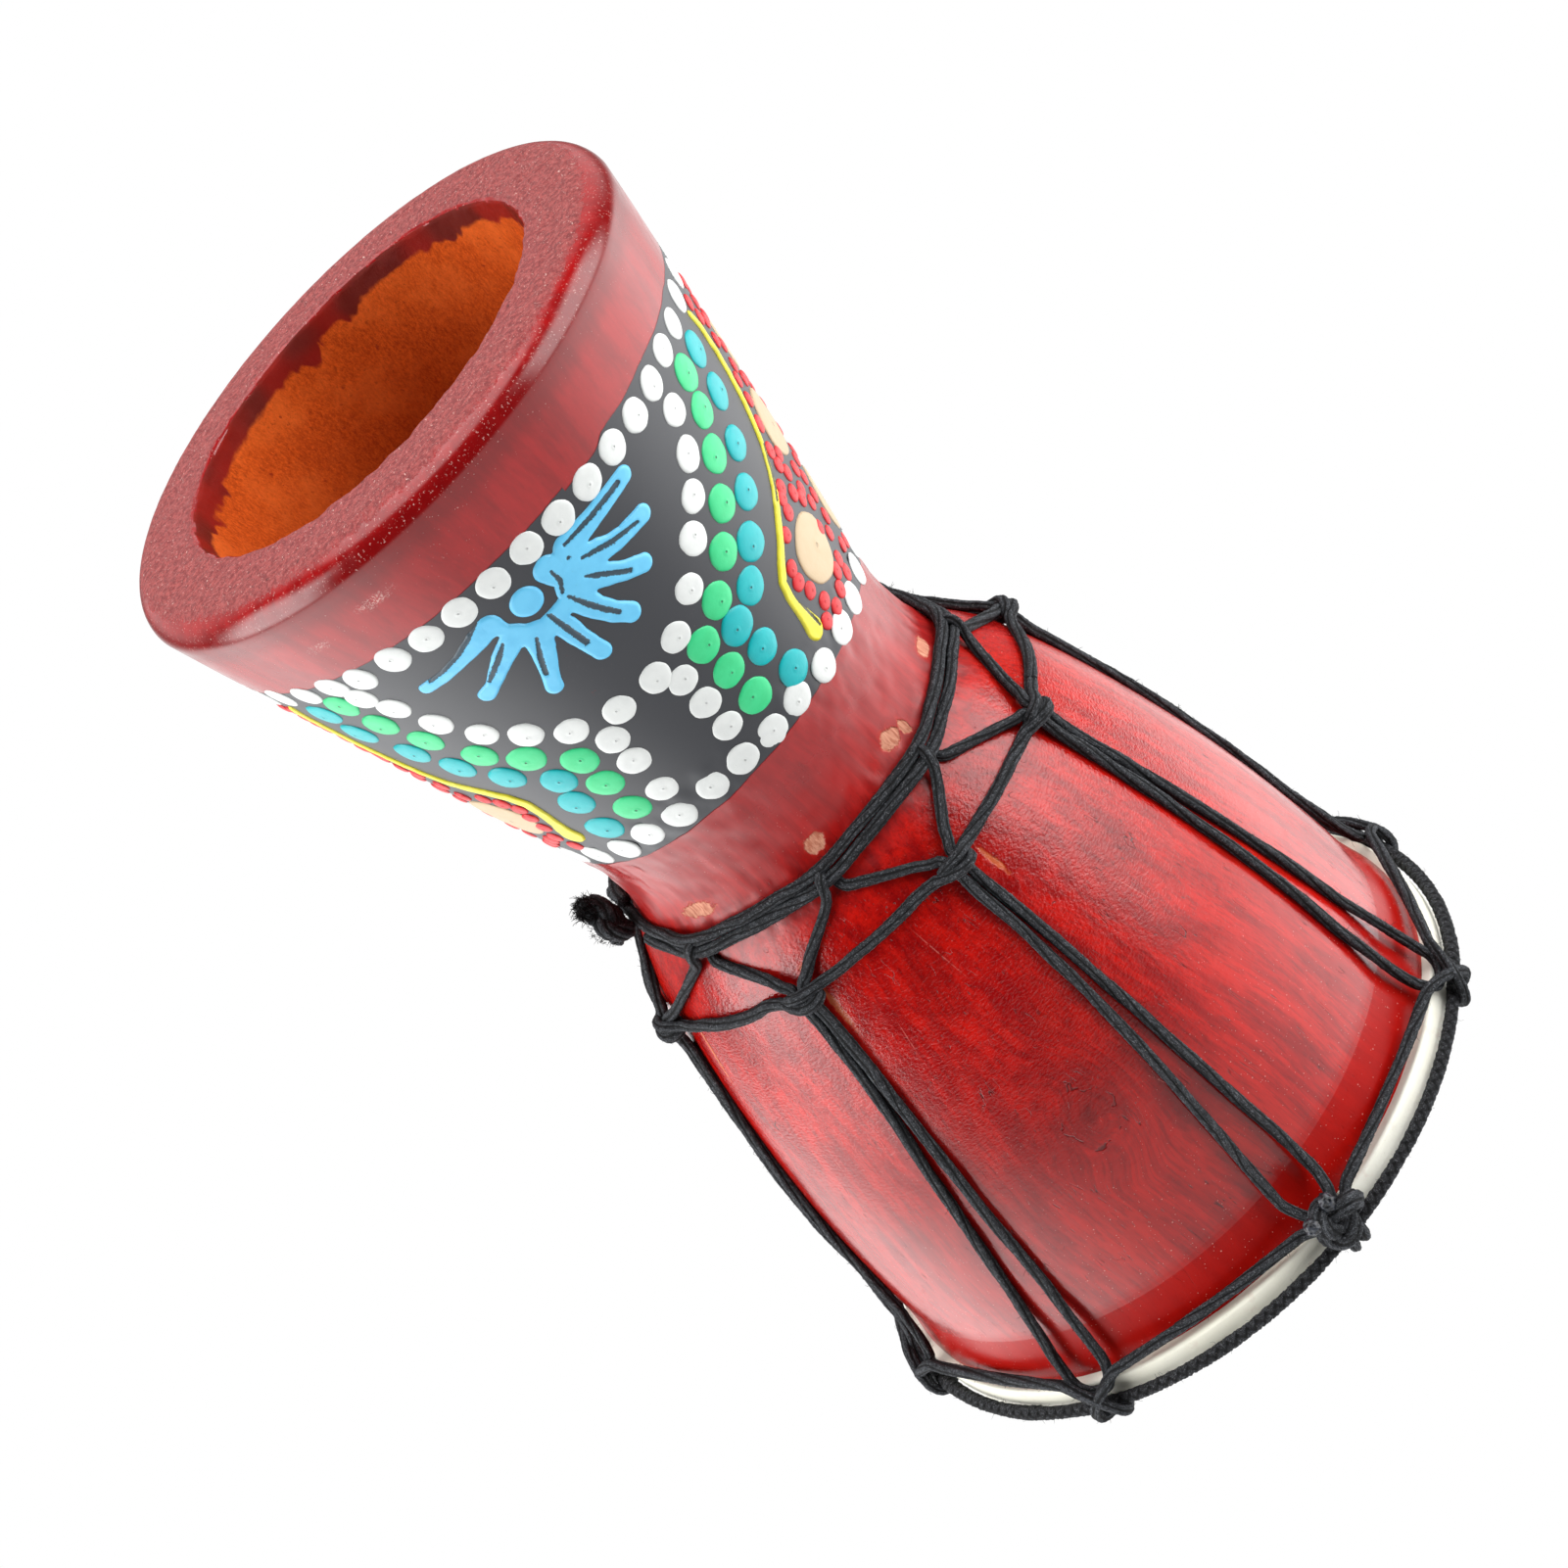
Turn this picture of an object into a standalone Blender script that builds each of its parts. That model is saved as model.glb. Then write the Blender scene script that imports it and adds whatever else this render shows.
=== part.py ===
"""A rope-laced goblet drum (mini djembe), 150 mm tall, standing on its foot.

Metres, +Z up. The foot's face lies on z = 0 and the drum's axis is the Z axis. Angles go round
the axis from -Y towards +X. The pieces, from the inside out: a turned wooden shell, open right
through; a skin lapped round a flesh hoop; a crown ring lying on the skin's shoulder; a rim cord
hitched over the crown ring eight times; the lacing, one cord that zigzags between the rim cord
and the waist cord; the shoulder cord that ties the lacing's strands in pairs; and two knots.
"""

import math

import bmesh
import bpy
from mathutils import Matrix, Vector

MM = 0.001
GAP = 0.25 * MM  # clearance that stands for two pieces touching

# The shell. Its outside is a curve through these (height, radius) stations, in mm.
OUTER_STATIONS = (
    (3.5, 36.3), (10.5, 34.9), (26.0, 31.6), (43.8, 27.9), (58.0, 24.7), (66.0, 23.7),
    (72.0, 24.6), (78.5, 28.4), (83.5, 30.9), (96.5, 34.6), (114.0, 38.1), (131.0, 40.0),
    (146.6, 40.6),
)
INNER_STATIONS = (
    (0.8, 25.4), (30.0, 21.0), (58.0, 16.0), (70.0, 15.2), (84.0, 23.5), (104.0, 31.3),
    (130.0, 35.6), (148.6, 36.9),
)
FOOT_RADIUS = 36.3 * MM
FOOT_EDGE = (4.0 * MM, 3.5 * MM)  # the foot's rounded edge, across and up
MOUTH_RADIUS = 25.4 * MM  # the bore where it meets the foot's face
MOUTH_EDGE = 0.8 * MM
BEARING_Z = 149.1 * MM  # the wooden edge that the skin is stretched over
BEARING_ROUND = 2.5 * MM
SHELL_SEGMENTS = 40

# The head.
HEAD_Z = 150.0 * MM
SKIN = 0.6 * MM
SKIN_RADIUS = 43.1 * MM
SKIN_SHOULDER = 1.8 * MM  # the round where the head turns down over the hoop
LAP_Z = 144.1 * MM  # the skin's lowest point, where it turns in under the hoop
LAP_INNER = 41.1 * MM
HOOP_RADII = (41.1 * MM, 42.15 * MM)
HOOP_HEIGHTS = (144.95 * MM, 148.9 * MM)
HEAD_SEGMENTS = 48
CROWN_RADIUS = 44.2 * MM
CROWN_Z = 147.9 * MM
CROWN_THICK = 1.7 * MM

# The cords.
CORD = 1.2 * MM
NECK_CORD = 1.1 * MM
CELLS = 8
SHOULDER_ANGLES = (-50, -9, 35, 84, 129, 174, 218, 263)  # where a pair of strands is tied
WAIST_ANGLES = (-27, 14, 58, 108, 151, 196, 240, 285)  # the turn that follows each pair
RIM_ANGLES = (-52.5, -5.6, 43.3, 88, 131, 176, 219, 263)  # the hitch above each pair
RIM_KNOT_CELL = 1
SHOULDER_Z = 82.0 * MM
RIM_CORD_Z = 142.7 * MM
RIM_CORD_RADIUS = 45.0 * MM
STRAND_HALF = 1.35  # degrees from the middle of a pair to each strand, at the shoulder
STRAND_RISE = (  # height in mm, share of the way round to the hitch, and spread of the pair
    (82.0, 0.0, 1.0), (90.0, 0.02, 0.95), (100.0, 0.1, 1.15), (110.0, 0.3, 1.6),
    (119.0, 0.5, 2.0), (129.0, 0.74, 2.55),
)
# The routes below are points of (degrees from the middle, radius in mm, height in mm).
STRAND_TO_HITCH = ((4.3, 42.0, 139.5), (4.2, 42.5, 142.0))
STRAND_TO_KNOT = ((4.3, 42.0, 139.5), (2.6, 44.2, 141.7))
BIGHT = ((3.4, 43.55, 143.55), (2.2, 43.95, 144.6), (0.8, 43.95, 145.0))  # half of the turn
WAIST_TURN = (
    (-1.2, 25.5, 72.2), (-0.4, 25.4, 69.8), (0.4, 26.9, 68.7), (1.2, 28.5, 70.0),
    (2.0, 29.15, 72.6), (3.2, 29.3, 75.6),
)
WAIST_REACH = (2.2, 3.2)  # degrees from its middle to where the lacing lies on the wood
WAIST_Z = 70.8 * MM
WAIST_TURNS = 2
WAIST_PITCH = 1.5 * MM
WAIST_SWELL = 1.8 * MM  # how far the turns rise over the lacing
WAIST_KNOT_ANGLE = 91
WAIST_KNOT = (1.9 * MM, 2.5 * MM, 3.0 * MM)  # half sizes: out, round and up
WAIST_KNOT_RADIUS = 28.5 * MM
RIM_KNOT = (1.8 * MM, 3.4 * MM, 2.2 * MM)
RIM_KNOT_RADIUS = 45.2 * MM
RIM_KNOT_Z = 144.3 * MM


def clear_scene():
    for thing in list(bpy.data.objects):
        bpy.data.objects.remove(thing, do_unlink=True)


def material(name, colour, roughness):
    made = bpy.data.materials.new(name)
    made.use_nodes = True
    shader = made.node_tree.nodes["Principled BSDF"]
    shader.inputs["Base Color"].default_value = (*colour, 1.0)
    shader.inputs["Roughness"].default_value = roughness
    shader.inputs["Metallic"].default_value = 0.0
    made.diffuse_color = (*colour, 1.0)
    return made


def polar(degrees, radius, z):
    """The point at an angle from -Y towards +X, a radius and a height."""
    angle = math.radians(degrees)
    return Vector((radius * math.sin(angle), -radius * math.cos(angle), z))


def catmull(points, steps):
    """Points along a smooth curve through the given ones, ends included."""
    ends = [points[0]] + list(points) + [points[-1]]
    made = []
    for before, start, end, after in zip(ends, ends[1:], ends[2:], ends[3:]):
        for step in range(steps):
            t = step / steps
            made.append(tuple(
                0.5 * (2 * b + (c - a) * t + (2 * a - 5 * b + 4 * c - d) * t * t
                       + (3 * b - a - 3 * c + d) * t ** 3)
                for a, b, c, d in zip(before, start, end, after)))
    return made + [tuple(points[-1])]


def arc(centre, across, up, start, end, steps):
    """(radius, z) points on a quarter or other part of an ellipse, in degrees from outwards."""
    return [(centre[0] + across * math.cos(math.radians(start + (end - start) * i / steps)),
             centre[1] + up * math.sin(math.radians(start + (end - start) * i / steps)))
            for i in range(steps + 1)]


OUTER_CURVE = [(z * MM, radius * MM) for z, radius in catmull(OUTER_STATIONS, 2)]
INNER_CURVE = [(z * MM, radius * MM) for z, radius in catmull(INNER_STATIONS, 2)]


def wood_radius(z):
    """The shell's outer radius at a height."""
    for (low, first), (high, second) in zip(OUTER_CURVE, OUTER_CURVE[1:]):
        if z <= high:
            return first + (second - first) * (z - low) / (high - low)
    return OUTER_CURVE[-1][1]


def on_wood(degrees, z, cord=CORD):
    """The middle of a cord that lies on the shell."""
    return polar(degrees, wood_radius(z) + GAP + cord / 2, z)


def finish_mesh(name, mesh, finish, sharp=40):
    mesh.materials.append(finish)
    mesh.shade_smooth()
    mesh.set_sharp_from_angle(angle=math.radians(sharp))
    made = bpy.data.objects.new(name, mesh)
    bpy.context.scene.collection.objects.link(made)
    return made


def turned(name, outline, finish, segments):
    """A turned piece: the closed (radius, z) outline, spun round the Z axis."""
    mesh = bpy.data.meshes.new(name)
    shape = bmesh.new()
    verts = [shape.verts.new((radius, 0, z)) for radius, z in outline]
    edges = [shape.edges.new(pair) for pair in zip(verts, verts[1:] + verts[:1])]
    bmesh.ops.spin(shape, geom=verts + edges, cent=(0, 0, 0), axis=(0, 0, 1),
                   angle=math.tau, steps=segments, use_merge=True)
    bmesh.ops.remove_doubles(shape, verts=shape.verts, dist=0.01 * MM)
    loose = [edge for edge in shape.edges if not edge.link_faces]
    bmesh.ops.delete(shape, geom=loose, context="EDGES")
    bmesh.ops.recalc_face_normals(shape, faces=shape.faces)
    shape.to_mesh(mesh)
    shape.free()
    return finish_mesh(name, mesh, finish)


def cord(name, points, thick, finish, cyclic=False):
    """A round cord through the points."""
    curve = bpy.data.curves.new(name, "CURVE")
    curve.dimensions = "3D"
    curve.bevel_depth = thick / 2
    curve.bevel_resolution = 2
    curve.use_fill_caps = True
    spline = curve.splines.new("POLY")
    spline.points.add(len(points) - 1)
    for place, point in zip(spline.points, points):
        place.co = (*point, 1.0)
    spline.use_cyclic_u = cyclic
    spline.use_smooth = True
    curve.materials.append(finish)
    made = bpy.data.objects.new(name, curve)
    bpy.context.scene.collection.objects.link(made)
    return made


def knot(name, degrees, radius, z, half, finish):
    """A knot's lump: a ball of the given half sizes out, round and up."""
    mesh = bpy.data.meshes.new(name)
    shape = bmesh.new()
    bmesh.ops.create_icosphere(shape, subdivisions=2, radius=1.0)
    bmesh.ops.scale(shape, vec=(half[1], half[0], half[2]), verts=shape.verts)
    bmesh.ops.rotate(shape, cent=(0, 0, 0), matrix=Matrix.Rotation(math.radians(degrees), 3, "Z"),
                     verts=shape.verts)
    shape.to_mesh(mesh)
    shape.free()
    made = finish_mesh(name, mesh, finish)
    made.location = polar(degrees, radius, z)
    return made


def make_shell(finish):
    foot_edge = arc((FOOT_RADIUS - FOOT_EDGE[0], FOOT_EDGE[1]), *FOOT_EDGE, -90, 0, 5)
    outside = [(radius, z) for z, radius in OUTER_CURVE]
    rim_radius = outside[-1][0]
    bearing = arc((rim_radius - BEARING_ROUND, BEARING_Z - BEARING_ROUND),
                  BEARING_ROUND, BEARING_ROUND, 0, 90, 4)
    inside = [(radius, z) for z, radius in reversed(INNER_CURVE)]
    inner_edge = [(inside[0][0] + 0.5 * MM, BEARING_Z)]
    mouth = [(MOUTH_RADIUS + MOUTH_EDGE, 0.0)]
    return turned("shell", foot_edge + outside[1:-1] + bearing + inner_edge + inside + mouth,
                  finish, SHELL_SEGMENTS)


def make_skin(finish):
    """The head, drawn down over the hoop and turned in beneath it: an open channel inside."""
    shoulder = (SKIN_RADIUS - SKIN_SHOULDER, HEAD_Z - SKIN_SHOULDER)
    lap = 1.0 * MM
    low = (SKIN_RADIUS - lap, LAP_Z + lap)
    under = HEAD_Z - SKIN
    inner = SKIN_RADIUS - SKIN
    outline = [(0.0, under), (LAP_INNER, under)]
    outline += arc((inner - 0.5 * MM, under - 0.5 * MM), 0.5 * MM, 0.5 * MM, 90, 0, 2)
    outline += [(inner, low[1]), (inner - 0.4 * MM, LAP_Z + SKIN), (LAP_INNER, LAP_Z + SKIN)]
    outline += [(LAP_INNER, LAP_Z)]
    outline += arc(low, lap, lap, -90, 0, 3)
    outline += arc(shoulder, SKIN_SHOULDER, SKIN_SHOULDER, 0, 90, 4)
    outline += [(0.0, HEAD_Z)]
    return turned("drum_skin", outline, finish, HEAD_SEGMENTS)


def make_hoop(finish):
    (inner, outer), (low, high) = HOOP_RADII, HOOP_HEIGHTS
    edge = 0.25 * MM
    outline = [(inner, low + edge), (inner + edge, low), (outer - edge, low),
               (outer, low + edge), (outer, high - edge), (outer - edge, high),
               (inner + edge, high), (inner, high - edge)]
    return turned("flesh_hoop", outline, finish, HEAD_SEGMENTS)


def make_crown(finish):
    ring = arc((CROWN_RADIUS, CROWN_Z), CROWN_THICK / 2, CROWN_THICK / 2, 0, 315, 7)
    return turned("crown_ring", ring, finish, HEAD_SEGMENTS)


def next_shoulder(cell):
    """The angle of the next tied pair, going round past 360 degrees after the last."""
    return SHOULDER_ANGLES[(cell + 1) % CELLS] + (360 if cell == CELLS - 1 else 0)


def hitch(middle, reach=1.6 * MM):
    """The rim cord's loop over the crown ring: up on one side, across the top and down again."""
    over = [polar(-1.1, CROWN_RADIUS + reach * math.cos(math.radians(turn)),
                  CROWN_Z + reach * math.sin(math.radians(turn))) for turn in (-20, 15, 50)]
    top = [polar(-0.95, CROWN_RADIUS, CROWN_Z + reach),
           polar(-0.5, CROWN_RADIUS - 0.45 * MM, CROWN_Z + reach)]
    up = [polar(-1.1, 45.35 * MM, 144.6 * MM)] + over + top
    down = [Vector((-point.x, point.y, point.z)) for point in reversed(up)]
    turn = Matrix.Rotation(math.radians(middle), 3, "Z")
    return [turn @ point for point in up + down]


def rim_route():
    """The rim cord, from one side of its knot all the way round to the other."""
    points = []
    for step in range(CELLS + 1):
        cell = (RIM_KNOT_CELL + step) % CELLS
        middle = RIM_ANGLES[cell]
        side = math.degrees((RIM_KNOT[1] + GAP) / RIM_KNOT_RADIUS) if cell == RIM_KNOT_CELL else 2.2
        if step > 0:
            points.append(polar(middle - side - 1, RIM_CORD_RADIUS, RIM_CORD_Z))
            points.append(polar(middle - side, RIM_CORD_RADIUS, RIM_CORD_Z + 0.2 * MM))
        if cell != RIM_KNOT_CELL:
            points += hitch(middle)
        if step < CELLS:
            points.append(polar(middle + side, RIM_CORD_RADIUS, RIM_CORD_Z + 0.2 * MM))
            points.append(polar(middle + side + 1, RIM_CORD_RADIUS, RIM_CORD_Z))
    return points


def tie_loop_route():
    """The loop that runs from the rim knot over the crown ring and back to the knot."""
    loop = hitch(RIM_ANGLES[RIM_KNOT_CELL])[1:-1]
    knot_top = RIM_KNOT_Z + RIM_KNOT[2] + GAP
    start, end = (Vector((point.x, point.y, knot_top)) for point in (loop[0], loop[-1]))
    return [start] + loop + [end]


def rising_strand(cell, side):
    """One strand of a pair, from the shoulder up to the inside of the rim cord, or to its knot."""
    foot, head = SHOULDER_ANGLES[cell], RIM_ANGLES[cell]
    points = [on_wood(foot + (head - foot) * share + side * STRAND_HALF * spread, z * MM)
              for z, share, spread in STRAND_RISE]
    ends = STRAND_TO_KNOT if cell == RIM_KNOT_CELL else STRAND_TO_HITCH
    return points + [polar(head + side * turn, radius * MM, z * MM) for turn, radius, z in ends]


def bight(cell):
    """The lacing's turn behind a hitch of the rim cord."""
    return [polar(RIM_ANGLES[cell] + side * turn, radius * MM, z * MM)
            for side, half in ((-1, BIGHT), (1, BIGHT[::-1])) for turn, radius, z in half]


def waist_turn(cell):
    """The lacing's turn round the waist cord: in beneath it and back over the top of it."""
    middle = WAIST_ANGLES[cell]
    start = SHOULDER_ANGLES[cell] + STRAND_HALF
    end = next_shoulder(cell) - STRAND_HALF
    into, out = middle - WAIST_REACH[0], middle + WAIST_REACH[1]
    points = [on_wood(start + (into - start) * share, z * MM)
              for share, z in ((0.45, 78.9), (1.0, 75.6))]
    points += [polar(middle + turn, radius * MM, z * MM) for turn, radius, z in WAIST_TURN]
    return points + [on_wood(out + (end - out) * 0.55, 79.4 * MM)]


def lacing_route():
    """The whole lacing, starting and ending below the rim knot."""
    points = []
    for step in range(CELLS + 1):
        cell = (RIM_KNOT_CELL + step) % CELLS
        if step > 0:
            points += rising_strand(cell, -1)
            points += [] if cell == RIM_KNOT_CELL else bight(cell)
        if step < CELLS:
            points += reversed(rising_strand(cell, 1))
            points += waist_turn(cell)
    return points


def waist_route():
    """Two turns that swell outwards where the lacing passes beneath them."""
    clear = math.degrees((WAIST_KNOT[1] + GAP) / WAIST_KNOT_RADIUS) + 1.0
    sweep = 360 * WAIST_TURNS - 2 * clear
    steps = 30 * WAIST_TURNS
    points = []
    for step in range(steps + 1):
        turn = clear + sweep * step / steps
        angle = WAIST_KNOT_ANGLE + turn
        z = WAIST_Z + WAIST_PITCH * turn / 360
        near = min(abs((angle - place + 180) % 360 - 180) for place in WAIST_ANGLES)
        swell = WAIST_SWELL * max(0.0, math.cos(math.radians(min(near * 5, 90))))
        points.append(polar(angle, wood_radius(z) + GAP + CORD / 2 + swell, z))
    return points


def shoulder_route():
    """Straight from pair to pair, over both strands, and bent where it meets the wood."""
    outermost = wood_radius(SHOULDER_Z) + 2 * GAP + 1.5 * CORD
    resting = wood_radius(SHOULDER_Z) + GAP + CORD / 2
    points = []
    for cell, start in enumerate(SHOULDER_ANGLES):
        half = (next_shoulder(cell) - start) / 2
        for share in (-0.85, -0.7, -0.45, 0.0, 0.45, 0.7, 0.85):
            straight = outermost * math.cos(math.radians(half * 0.85)) / math.cos(
                math.radians(half * share))
            points.append(polar(start + half * (1 + share), max(straight, resting), SHOULDER_Z))
    return points


def main():
    clear_scene()
    lacquer = material("red_lacquered_wood", (0.33, 0.012, 0.014), 0.3)
    hide = material("white_skin", (0.82, 0.8, 0.72), 0.6)
    strip = material("plain_wood", (0.55, 0.36, 0.2), 0.7)
    braid = material("black_braid", (0.02, 0.021, 0.023), 0.75)
    waxed = material("black_waxed_cord", (0.022, 0.023, 0.025), 0.65)
    make_shell(lacquer)
    make_skin(hide)
    make_hoop(strip)
    make_crown(braid)
    cord("rim_cord", rim_route(), NECK_CORD, waxed)
    cord("rim_tie_loop", tie_loop_route(), NECK_CORD, waxed)
    cord("lacing_cord", lacing_route(), CORD, waxed)
    cord("shoulder_cord", shoulder_route(), CORD, waxed, cyclic=True)
    cord("waist_cord", waist_route(), CORD, waxed)
    knot("rim_knot", RIM_ANGLES[RIM_KNOT_CELL], RIM_KNOT_RADIUS, RIM_KNOT_Z, RIM_KNOT, waxed)
    knot("waist_knot", WAIST_KNOT_ANGLE, WAIST_KNOT_RADIUS, WAIST_Z + WAIST_PITCH, WAIST_KNOT,
         waxed)


main()
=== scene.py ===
"""The looks of the mini djembe: its lacquered shell, painted band, skin head and waxed cords.

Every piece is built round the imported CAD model, in its frame: metres, +Z up, foot on z = 0.
Angles go round the Z axis from -Y towards +X. Shapes are worked out in millimetres, which MM
turns into metres.
"""

import math
import random

import bmesh
import bpy
import numpy as np
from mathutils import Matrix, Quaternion, Vector, noise


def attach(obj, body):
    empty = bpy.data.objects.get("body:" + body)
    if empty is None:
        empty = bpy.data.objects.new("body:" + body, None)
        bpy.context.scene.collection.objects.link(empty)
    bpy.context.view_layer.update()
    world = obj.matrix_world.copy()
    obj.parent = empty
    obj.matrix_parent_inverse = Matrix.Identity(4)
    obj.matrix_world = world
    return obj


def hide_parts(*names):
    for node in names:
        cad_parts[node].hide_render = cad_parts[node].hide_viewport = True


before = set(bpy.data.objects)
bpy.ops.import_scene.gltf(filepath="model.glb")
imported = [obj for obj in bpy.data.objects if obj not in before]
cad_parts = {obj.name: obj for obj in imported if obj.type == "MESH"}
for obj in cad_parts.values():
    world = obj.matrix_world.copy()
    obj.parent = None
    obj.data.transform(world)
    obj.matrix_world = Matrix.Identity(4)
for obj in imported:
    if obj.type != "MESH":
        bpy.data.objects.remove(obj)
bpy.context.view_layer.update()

MM = 0.001
TINY = 1e-9
UNIT = 35.05  # mm of height for each unit of the paint layout

# ------------------------ the shell's shape, as in the CAD
OUTER_STATIONS = (
    (3.5, 36.3), (10.5, 34.9), (26.0, 31.6), (43.8, 27.9), (58.0, 24.7), (66.0, 23.7),
    (72.0, 24.6), (78.5, 28.4), (83.5, 30.9), (96.5, 34.6), (114.0, 38.1), (131.0, 40.0),
    (146.6, 40.6),
)
INNER_STATIONS = (
    (0.8, 25.4), (30.0, 21.0), (58.0, 16.0), (70.0, 15.2), (84.0, 23.5), (104.0, 31.3),
    (130.0, 35.6), (148.6, 36.9),
)
FOOT_EDGE = (32.3, 3.5, 4.0, 3.5)  # centre and half sizes of the foot's rounded edge
MOUTH, MOUTH_Z, MOUTH_ROUND = 25.4, 0.8, 0.9
BEARING_Z, BEARING_ROUND, BEARING_INSIDE = 149.1, 2.5, 37.4
FLARE_Z = (137.0, 138.0, 139.0, 141.0, 143.0, 144.4, 145.4, 146.5)  # the lip below the skin's lap
FLARE_OUT = (0.0, 0.03, 0.11, 0.40, 0.80, 1.10, 1.05, 0.0)
DULL_FROM = (135.6, 136.4, 137.2, 138.0)  # mm, where the lacquer loses its shine, step by step
DULL_GLOSS = (0.42, 0.32, 0.22, 0.11)

# ------------------------ the lacing's places, as in the CAD
CELLS = 8
SHOULDER_ANGLES = (-50, -9, 35, 84, 129, 174, 218, 263)
WAIST_ANGLES = (-27, 14, 58, 108, 151, 196, 240, 285)
RIM_ANGLES = (-52.5, -5.6, 43.3, 88, 131, 176, 219, 263)
KNOT_CELL = 1
SHOULDER_Z, WAIST_Z, WAIST_PITCH = 82.0, 70.8, 1.5
STRAND_HALF = 1.35
SHOULDER_RISE = (-0.5, -1.0, -0.8, 0.9, 0.0, 0.4, -0.3, 0.3)  # mm, where each pair was tied
CORD_RADIUS, NECK_RADIUS = 0.66, 0.64
CROWN_RADIUS, CROWN_Z, CROWN_HALF = 44.35, 147.7, 0.90
WAIST_KNOT_ANGLE = 91.0


# ------------------------ geometry helpers
def catmull(points, steps):
    """Points along a smooth curve through the given ones, ends included."""
    p = np.array([points[0], *points, points[-1]], float)
    t = (np.arange(steps) / steps)[:, None]
    rows = [0.5 * (2 * b + (c - a) * t + (2 * a - 5 * b + 4 * c - d) * t ** 2
                   + (3 * b - a - 3 * c + d) * t ** 3)
            for a, b, c, d in zip(p, p[1:], p[2:], p[3:])]
    return np.vstack([*rows, p[-2:-1]])


OUTER = catmull(OUTER_STATIONS, 16)
INNER = catmull(INNER_STATIONS, 10)


def wood_radius(z):
    return np.interp(z, OUTER[:, 0], OUTER[:, 1])


def wood_slope(z):
    return wood_radius(z + 0.5) - wood_radius(z - 0.5)


def polar(degrees, radius, z):
    a = np.radians(degrees)
    return np.stack(np.broadcast_arrays(radius * np.sin(a), -radius * np.cos(a), z), -1)


def arc(centre, across, up, start, end, steps):
    a = np.radians(np.linspace(start, end, steps + 1))
    return np.stack([centre[0] + across * np.cos(a), centre[1] + up * np.sin(a)], 1)


def degree_mm(z):
    """How far one degree goes round the shell at a height, in mm."""
    return float(wood_radius(z)) * math.pi / 180


def add_object(name, data):
    made = bpy.data.objects.new(name, data)
    bpy.context.scene.collection.objects.link(made)
    return made


def make_mesh(name, points_mm, faces, finish, sharp=None):
    mesh = bpy.data.meshes.new(name)
    mesh.from_pydata([tuple(p) for p in np.asarray(points_mm) * MM], [], faces)
    mesh.materials.append(finish)
    mesh.shade_smooth()
    if sharp:
        mesh.set_sharp_from_angle(angle=math.radians(sharp))
    return add_object(name, mesh)


def grid_faces(rows, columns, wrap_rows=False, wrap_columns=True, start=0):
    """Quads over a grid of points numbered row by row."""
    r, c = np.meshgrid(np.arange(rows if wrap_rows else rows - 1),
                       np.arange(columns if wrap_columns else columns - 1), indexing="ij")
    r2, c2 = (r + 1) % rows, (c + 1) % columns
    quads = np.stack([r * columns + c, r * columns + c2, r2 * columns + c2, r2 * columns + c], -1)
    return (quads.reshape(-1, 4) + start).tolist()


def fractal(x, y, z, scale, octaves=2, seed=0.0):
    """Noise from -1 to 1 at a point in mm, with features of the given size in mm."""
    at = Vector((x / scale + seed, y / scale - seed, z / scale))
    return noise.fractal(at, 0.6, 2.0, octaves)


def fan(centre, first, count, back=False):
    """Triangles from a point to the ring of points numbered from first."""
    ring = np.arange(count)
    after = (ring + 1) % count
    if back:
        ring, after = after, ring
    return np.stack([np.full(count, centre), first + ring, first + after], 1).tolist()


def turned(name, outline, finish, segments, relief, ends_on_axis=False, sharp=35):
    """The (radius, z) outline in mm, spun round the Z axis. relief moves a point outwards."""
    outline = np.asarray(outline, float)
    inner = outline[1:-1] if ends_on_axis else outline
    angles = np.arange(segments) * 360 / segments
    grid = np.stack([polar(angles, r, z) for r, z in inner])
    along = np.roll(inner, -1, 0) - np.roll(inner, 1, 0)
    out = np.stack([along[:, 1], -along[:, 0]], 1)
    out /= np.linalg.norm(out, axis=1)[:, None] + TINY
    for i, (r, z) in enumerate(inner):
        for j, angle in enumerate(angles):
            move = relief(r, z, grid[i, j])
            if move:
                grid[i, j] += polar(angle, out[i, 0] * move, out[i, 1] * move)
    rows = len(inner)
    faces = grid_faces(rows, segments, wrap_rows=not ends_on_axis)
    points = grid.reshape(-1, 3)
    if ends_on_axis:
        first, last = len(points), len(points) + 1
        points = np.vstack([points, [0, 0, outline[0, 1]], [0, 0, outline[-1, 1]]])
        faces += fan(first, 0, segments, True) + fan(last, (rows - 1) * segments, segments)
    made = make_mesh(name, points, faces, finish, sharp)
    fix_normals(made)
    return made


def fix_normals(made):
    shape = bmesh.new()
    shape.from_mesh(made.data)
    bmesh.ops.recalc_face_normals(shape, faces=shape.faces)
    shape.to_mesh(made.data)
    shape.free()


# ------------------------ materials
class Value:
    """A number or a vector out of a node. Its sums and products are further nodes."""

    def __init__(self, nodes, socket):
        self.nodes, self.socket = nodes, socket

    def __add__(self, other):
        return self.nodes.math("ADD", self, other)

    def __sub__(self, other):
        return self.nodes.math("SUBTRACT", self, other)

    def __rsub__(self, other):
        return self.nodes.math("SUBTRACT", other, self)

    def __mul__(self, other):
        return self.nodes.math("MULTIPLY", self, other)

    def __abs__(self):
        return self.nodes.math("ABSOLUTE", self)

    __radd__, __rmul__ = __add__, __mul__


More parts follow.
